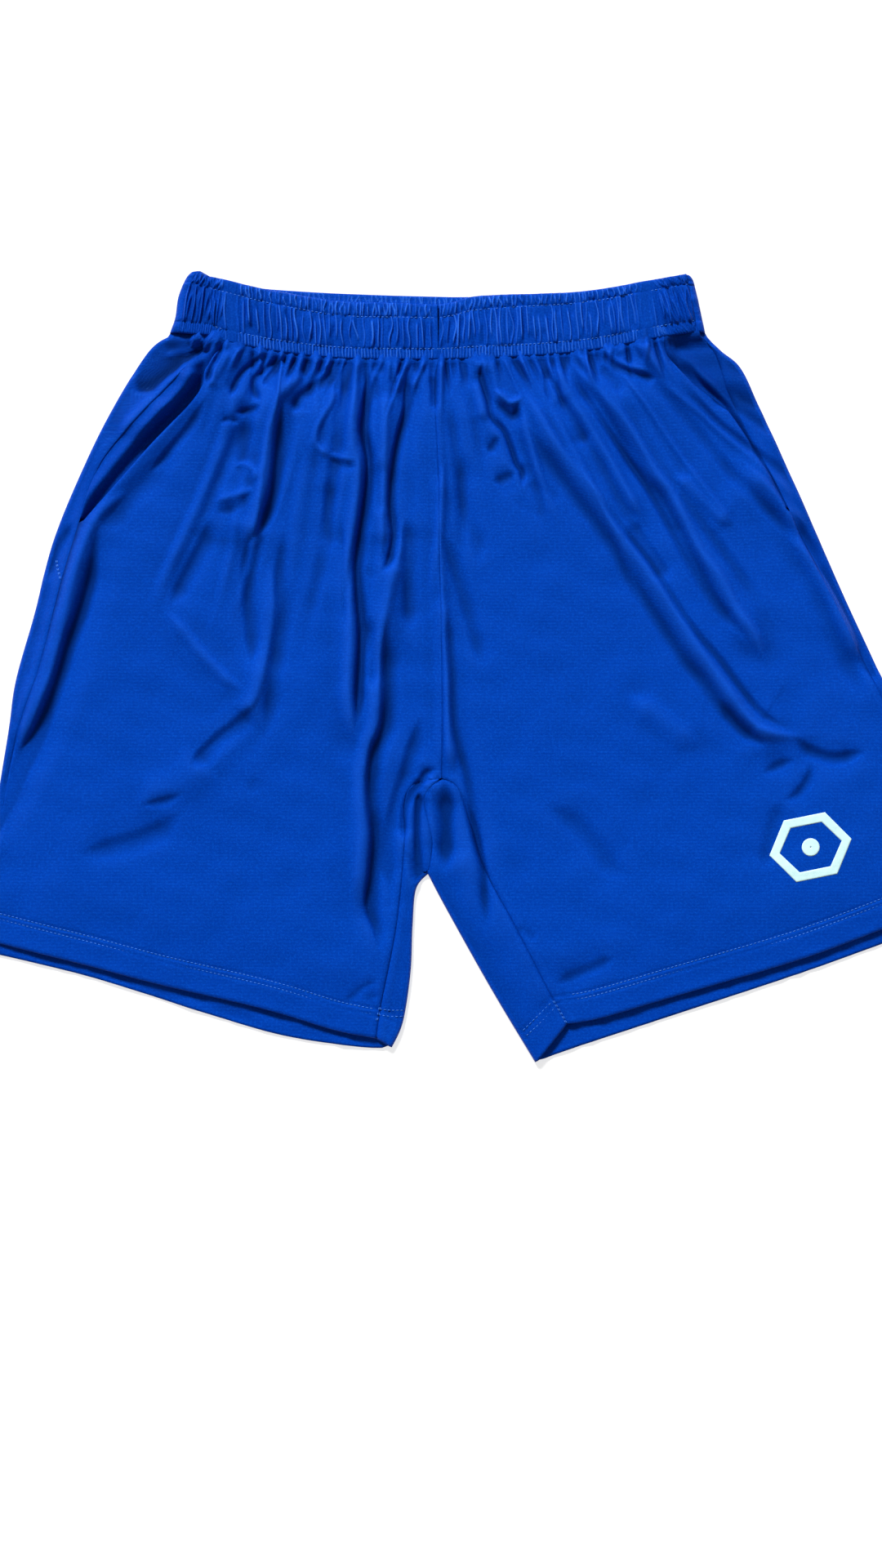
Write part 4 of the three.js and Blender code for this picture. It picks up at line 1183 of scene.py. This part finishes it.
def cloth_material(name, group, colour, fleck_colour, painted_light_colour, fleck_share, roughness, bump):
    """Knit whose light flecks have a colour of their own, with painted highlight on crests and painted shade
    in valleys, as the point attribute gives
    """
    material, tree, shader = new_material(name)
    place = node(tree, "ShaderNodeUVMap", {"uv_map": "cloth"}).outputs["UV"]
    surface = node(tree, "ShaderNodeGroup", {"node_tree": group}, Place=place).outputs
    crest = node(tree, "ShaderNodeAttribute", {"attribute_name": "crest"}).outputs["Fac"]
    base = mixed(tree, surface["Variation"], shaded(colour, 0.8), shaded(colour, 1.2))
    base = mixed(tree, maths(tree, "MULTIPLY", surface["Fleck"], fleck_share), base, fleck_colour)
    # Painted highlight where the point attribute is above 0, painted shade where it is below 0
    base = mixed(tree, maths(tree, "MULTIPLY", crest, CREST_PAINTED_HIGHLIGHT), base, painted_light_colour)
    base = mixed(tree, maths(tree, "MULTIPLY", crest, -VALLEY_PAINTED_SHADE), base, shaded(colour, VALLEY_SHADE_SHARE))
    relief = node(tree, "ShaderNodeBump", Strength=bump, Distance=LOOP_DEPTH, Height=surface["Height"])
    feed(tree, shader.inputs["Base Color"], base)
    feed(tree, shader.inputs["Normal"], relief.outputs["Normal"])
    shader.inputs["Roughness"].default_value = roughness
    shader.inputs["Specular IOR Level"].default_value = SHEEN
    shader.inputs["Specular Tint"].default_value = SHEEN_TINT
    return material


def plain_material(name, colour, roughness, glow=0.0):
    """Material of one colour, which may glow"""
    material, _, shader = new_material(name)
    shader.inputs["Base Color"].default_value = colour
    shader.inputs["Roughness"].default_value = roughness
    shader.inputs["Emission Color"].default_value = (1, 1, 1, 1)
    shader.inputs["Emission Strength"].default_value = glow
    return material


def material_named(name):
    """One of the scene's materials, made the first time it is asked for"""
    known = bpy.data.materials.get(name)
    if known:
        return known
    colours = bpy.context.scene.shorts_colours
    if name == "Thread":
        return plain_material(name, colours.thread, 0.5)
    if name == "Floor":
        return plain_material(name, colours.floor, 0.9, FLOOR_GLOW)
    group = bpy.data.node_groups.get("Knit surface") or knit_group()
    knit, fleck, motif = colours.knit, colours.fleck, colours.motif
    # The third colour of each is the one its painted highlight takes
    forms = {
        "Knit": (knit, fleck, colours.crest, 0.7, 0.45, 0.6),
        "Waistband": (knit, fleck, colours.painted_pleat_highlight, 0.7, 0.5, 0.5),
        "Print": (motif, motif, motif, 0.1, 0.45, 0.2),
    }
    return cloth_material(name, group, *forms[name])


# Stitches


def stitch_tree():
    """Lays one rounded stitch at each step along a line of edges"""
    tree = bpy.data.node_groups.new("Stitches", "GeometryNodeTree")
    sockets(tree, "INPUT", "Geometry", ["Geometry"])
    sockets(tree, "INPUT", "Float", {"Pitch": 0.003, "Length": 0.0022, "Thickness": 0.0005})
    sockets(tree, "INPUT", "Material", ["Material"])
    sockets(tree, "OUTPUT", "Geometry", ["Geometry"])
    start = tree.nodes.new("NodeGroupInput").outputs
    line = node(tree, "GeometryNodeMeshToCurve", Mesh=start["Geometry"]).outputs[0]
    steps = node(tree, "GeometryNodeResampleCurve", {"mode": "LENGTH"}, Curve=line, Length=start["Pitch"])
    way = tree.nodes.new("GeometryNodeInputTangent").outputs[0]
    turn = node(tree, "FunctionNodeAlignRotationToVector", {"axis": "X"}, Vector=way).outputs[0]
    bead = node(tree, "GeometryNodeMeshUVSphere", Segments=6, Rings=4, Radius=0.5).outputs[0]
    thick = start["Thickness"]
    size = node(tree, "ShaderNodeCombineXYZ", X=start["Length"], Y=thick, Z=thick).outputs[0]
    laid = dict(Points=steps.outputs[0], Instance=bead, Rotation=turn, Scale=size)
    lay = node(tree, "GeometryNodeInstanceOnPoints", **laid).outputs[0]
    real = node(tree, "GeometryNodeRealizeInstances", Geometry=lay).outputs[0]
    smoothed = node(tree, "GeometryNodeSetShadeSmooth", Geometry=real).outputs[0]
    finish = node(tree, "GeometryNodeSetMaterial", Geometry=smoothed, Material=start["Material"])
    node(tree, "NodeGroupOutput", Geometry=finish.outputs[0])
    return tree


def stitches(name, lines, sizes):
    """Plain mesh of stitches along lines of points in millimetres"""
    points, edges = [], []
    for line in lines:
        first = len(points)
        points += (line * MM).tolist()
        edges += [(first + i, first + i + 1) for i in range(len(line) - 1)]
    mesh = bpy.data.meshes.new(name)
    mesh.from_pydata(points, edges, [])
    path = bpy.data.objects.new(name, mesh)
    bpy.context.scene.collection.objects.link(path)
    modifier = path.modifiers.new("Stitches", "NODES")
    modifier.node_group = bpy.data.node_groups.get("Stitches") or stitch_tree()
    values = {
        "Pitch": sizes.stitch_pitch,
        "Length": sizes.stitch_length,
        "Thickness": sizes.stitch_thickness,
        "Material": material_named("Thread"),
    }
    for item in modifier.node_group.interface.items_tree:
        if item.in_out == "INPUT" and item.name in values:
            modifier[item.identifier] = values[item.name]
    bpy.context.view_layer.update()
    graph = bpy.context.evaluated_depsgraph_get()
    made = bpy.data.meshes.new_from_object(path.evaluated_get(graph))
    path.modifiers.remove(modifier)
    path.data = made
    path.name = name
    bpy.data.meshes.remove(mesh)
    if not made.polygons:
        raise RuntimeError(f"{name}: no stitches were made")
    return path


def hem_lines():
    """Rows of stitches at the hems, and bar tacks, as lines of points"""
    lines = [(spaced(points, 16), HAND_LIFT) for points in HAND_ROWS]
    for points in BAR_TACKS:
        lines += [(spaced(points, 16) + [shift, 0], TACK_LIFT) for shift in (-TACK_WIDTH, TACK_WIDTH)]
    for half in HALVES.values():
        line = spaced(half["front_hem"], 160)
        lines += [(shifted(line, distance * half["out"])[4:-3], HEM_LIFT) for distance in HEM_ROWS]
    return [np.column_stack([line, top_height(line) + lift]) for line, lift in lines]


def band_lines():
    """Rows of stitches along the band, as lines of points"""
    lines = []
    for half in HALVES.values():
        high, low = band_grid(half, np.linspace(0.004, 0.996, 260))
        for share in band_stops(high[:, 0])[1:3]:
            line = mix(high, low, share[:, None])
            height = band_height(half, line[:, 0], line[:, 1]) + BAND_STITCH_LIFT
            lines.append(np.column_stack([line, height]))
    return lines


# What a user would change


class ShortsSizes(bpy.types.PropertyGroup):
    stitch_pitch: bpy.props.FloatProperty(
        name="Stitch pitch", description="Distance from one stitch to the next", default=0.003, unit="LENGTH"
    )
    stitch_length: bpy.props.FloatProperty(
        name="Stitch length", description="Length of one stitch", default=0.0023, unit="LENGTH"
    )
    stitch_thickness: bpy.props.FloatProperty(
        name="Stitch thickness", description="Thickness of the thread", default=0.0005, unit="LENGTH"
    )
    camera_height: bpy.props.FloatProperty(
        name="Camera height", description="Camera above the surface", default=1.8, unit="LENGTH"
    )
    view_height: bpy.props.FloatProperty(
        name="View height", description="Length of surface that the picture shows",
        default=1.152, unit="LENGTH",
    )


class ShortsColours(bpy.types.PropertyGroup):
    knit: bpy.props.FloatVectorProperty(
        name="Knit", description="Colour of the cloth", subtype="COLOR", size=4,
        default=(0.0003, 0.044, 0.4, 1),
    )
    fleck: bpy.props.FloatVectorProperty(
        name="Fleck", description="Colour of the light flecks", subtype="COLOR", size=4,
        default=(0.002, 0.08, 0.56, 1),
    )
    # Colour of the painted highlight on the folds' crests
    crest: bpy.props.FloatVectorProperty(
        name="Crest", description="Colour of the folds' crests", subtype="COLOR", size=4,
        default=(0.012, 0.115, 0.72, 1),
    )
    # Colour of the painted highlight on the band's pleats
    painted_pleat_highlight: bpy.props.FloatVectorProperty(
        name="Pleat", description="Colour of the band's crests", subtype="COLOR", size=4,
        default=(0.03, 0.17, 0.8, 1),
    )
    motif: bpy.props.FloatVectorProperty(
        name="Print", description="Colour of the motif", subtype="COLOR", size=4,
        default=(0.62, 0.95, 0.96, 1),
    )
    thread: bpy.props.FloatVectorProperty(
        name="Thread", description="Colour of the stitches", subtype="COLOR", size=4,
        default=(0.03, 0.2, 0.74, 1),
    )
    floor: bpy.props.FloatVectorProperty(
        name="Surface", description="Colour of the surface", subtype="COLOR", size=4,
        default=(0.4, 0.4, 0.4, 1),
    )


def dressed(made, node_name, material):
    """Gives a piece its material and ties it to the CAD piece it stands for"""
    made.data.materials.clear()
    made.data.materials.append(material_named(material))
    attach(made, "root")
    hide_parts(node_name)
    return made


class SHORTS_OT_fronts(bpy.types.Operator):
    """Make the two front panels"""

    bl_idname = "shorts.fronts"
    bl_label = "Front panels"

    def execute(self, context):
        for side, half in HALVES.items():
            made = dressed(front_panel(side), f"front_panel_{side}", "Knit")
            outline = [*FRONT_SEAM, *half["inseam"][1:], *half["front_hem"][1:], *half["side_seam"][::-1]]
            outline += [*half["mouth"][::-1], *half["top"][::-1]]
        return {"FINISHED"}


class SHORTS_OT_backs(bpy.types.Operator):
    """Make the two back panels, with the strips that come round the sides and the inner legs"""

    bl_idname = "shorts.backs"
    bl_label = "Back panels"

    def execute(self, context):
        for side in HALVES:
            made = dressed(back_panel(side), f"back_panel_{side}", "Knit")
        return {"FINISHED"}


class SHORTS_OT_facings(bpy.types.Operator):
    """Make the pocket facings, seen in the pocket mouths"""

    bl_idname = "shorts.facings"
    bl_label = "Pocket facings"

    def execute(self, context):
        for side in HALVES:
            made = dressed(pocket_facing(side), f"pocket_facing_{side}", "Knit")
        return {"FINISHED"}


class SHORTS_OT_waistband(bpy.types.Operator):
    """Make the gathered waistband, front and back"""

    bl_idname = "shorts.waistband"
    bl_label = "Waistband"

    def execute(self, context):
        for side in HALVES:
            made = dressed(front_band(side), f"waistband_front_{side}", "Waistband")
            made = dressed(back_band(side), f"waistband_back_{side}", "Waistband")
        return {"FINISHED"}


class SHORTS_OT_motif(bpy.types.Operator):
    """Make the printed motif"""

    bl_idname = "shorts.motif"
    bl_label = "Printed motif"

    def execute(self, context):
        wide, high = MOTIF_SIZE
        inner = hexagon(wide - 2.3 * MOTIF_STROKE, high - 2 * MOTIF_STROKE)
        ring = printed("motif_ring_print", hexagon(wide, high), inner)
        dot = printed("motif_dot_print", circle(MOTIF_DOT), circle(MOTIF_DOT / 20))
        dressed(ring, "motif_ring", "Print")
        dressed(dot, "motif_dot", "Print")
        return {"FINISHED"}


class SHORTS_OT_stitching(bpy.types.Operator):
    """Make the rows of stitches on the hems and the band"""

    bl_idname = "shorts.stitching"
    bl_label = "Stitching"

    def execute(self, context):
        sizes = context.scene.shorts_sizes
        for name, lines, slot in (
            ("hem_stitches", hem_lines(), "knit"),
            ("band_stitches", band_lines(), "waistband"),
        ):
            made = stitches(name, lines, sizes)
            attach(made, "root")
        return {"FINISHED"}


class SHORTS_OT_stage(bpy.types.Operator):
    """Make the surface, the light and the camera"""

    bl_idname = "shorts.stage"
    bl_label = "Stage"

    def execute(self, context):
        scene = context.scene
        sizes = scene.shorts_sizes
        mesh = bpy.data.meshes.new("floor")
        corners = [(-1, -1), (1, -1), (1, 1), (-1, 1)]
        corners = [(FLOOR_REACH * x, FLOOR_REACH * y, -FLOOR_DROP) for x, y in corners]
        mesh.from_pydata(corners, [], [(0, 1, 2, 3)])
        mesh.materials.append(material_named("Floor"))
        floor = bpy.data.objects.new("floor", mesh)
        scene.collection.objects.link(floor)

        world = bpy.data.worlds.new("Sky")
        world.use_nodes = True
        sky = next(n for n in world.node_tree.nodes if n.type == "BACKGROUND")
        sky.inputs["Color"].default_value = (1, 1, 1, 1)
        sky.inputs["Strength"].default_value = SKY_STRENGTH
        scene.world = world

        key = bpy.data.lights.new("Key light", "SUN")
        key.energy = KEY_STRENGTH
        key.angle = KEY_ANGLE
        lamp = bpy.data.objects.new("Key light", key)
        along = [-math.cos(KEY_LIFT) * part for part in KEY_FROM]
        way = Vector((*along, -math.sin(KEY_LIFT)))
        lamp.rotation_euler = way.to_track_quat("-Z", "Y").to_euler()
        scene.collection.objects.link(lamp)

        camera = bpy.data.cameras.new("Camera")
        camera.sensor_width = SENSOR
        camera.lens = SENSOR * sizes.camera_height / sizes.view_height
        camera.clip_end = 20
        holder = bpy.data.objects.new("Camera", camera)
        holder.location = (*CAMERA_PLACE, sizes.camera_height)
        scene.collection.objects.link(holder)
        scene.camera = holder
        scene.view_settings.view_transform = "Standard"
        return {"FINISHED"}


STEPS = (
    SHORTS_OT_fronts,
    SHORTS_OT_backs,
    SHORTS_OT_facings,
    SHORTS_OT_waistband,
    SHORTS_OT_motif,
    SHORTS_OT_stitching,
    SHORTS_OT_stage,
)


class SHORTS_PT_panel(bpy.types.Panel):
    """Sizes, colours and steps of the shorts"""

    bl_idname = "SHORTS_PT_panel"
    bl_label = "Shorts"
    bl_space_type = "VIEW_3D"
    bl_region_type = "UI"
    bl_category = "Shorts"

    def draw(self, context):
        for group in (context.scene.shorts_sizes, context.scene.shorts_colours):
            for name in group.__annotations__:
                self.layout.prop(group, name)
        for step in STEPS:
            self.layout.operator(step.bl_idname)


CLASSES = (ShortsSizes, ShortsColours, *STEPS, SHORTS_PT_panel)


def register():
    for each in CLASSES:
        bpy.utils.register_class(each)
    bpy.types.Scene.shorts_sizes = bpy.props.PointerProperty(type=ShortsSizes)
    bpy.types.Scene.shorts_colours = bpy.props.PointerProperty(type=ShortsColours)


def unregister():
    del bpy.types.Scene.shorts_colours
    del bpy.types.Scene.shorts_sizes
    for each in reversed(CLASSES):
        bpy.utils.unregister_class(each)


def main():
    """Makes the shorts and the stage"""
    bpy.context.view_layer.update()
    register()
    bpy.ops.shorts.fronts()
    bpy.ops.shorts.backs()
    bpy.ops.shorts.facings()
    bpy.ops.shorts.waistband()
    bpy.ops.shorts.motif()
    bpy.ops.shorts.stitching()
    bpy.ops.shorts.stage()


if __name__ == "__main__":
    main()
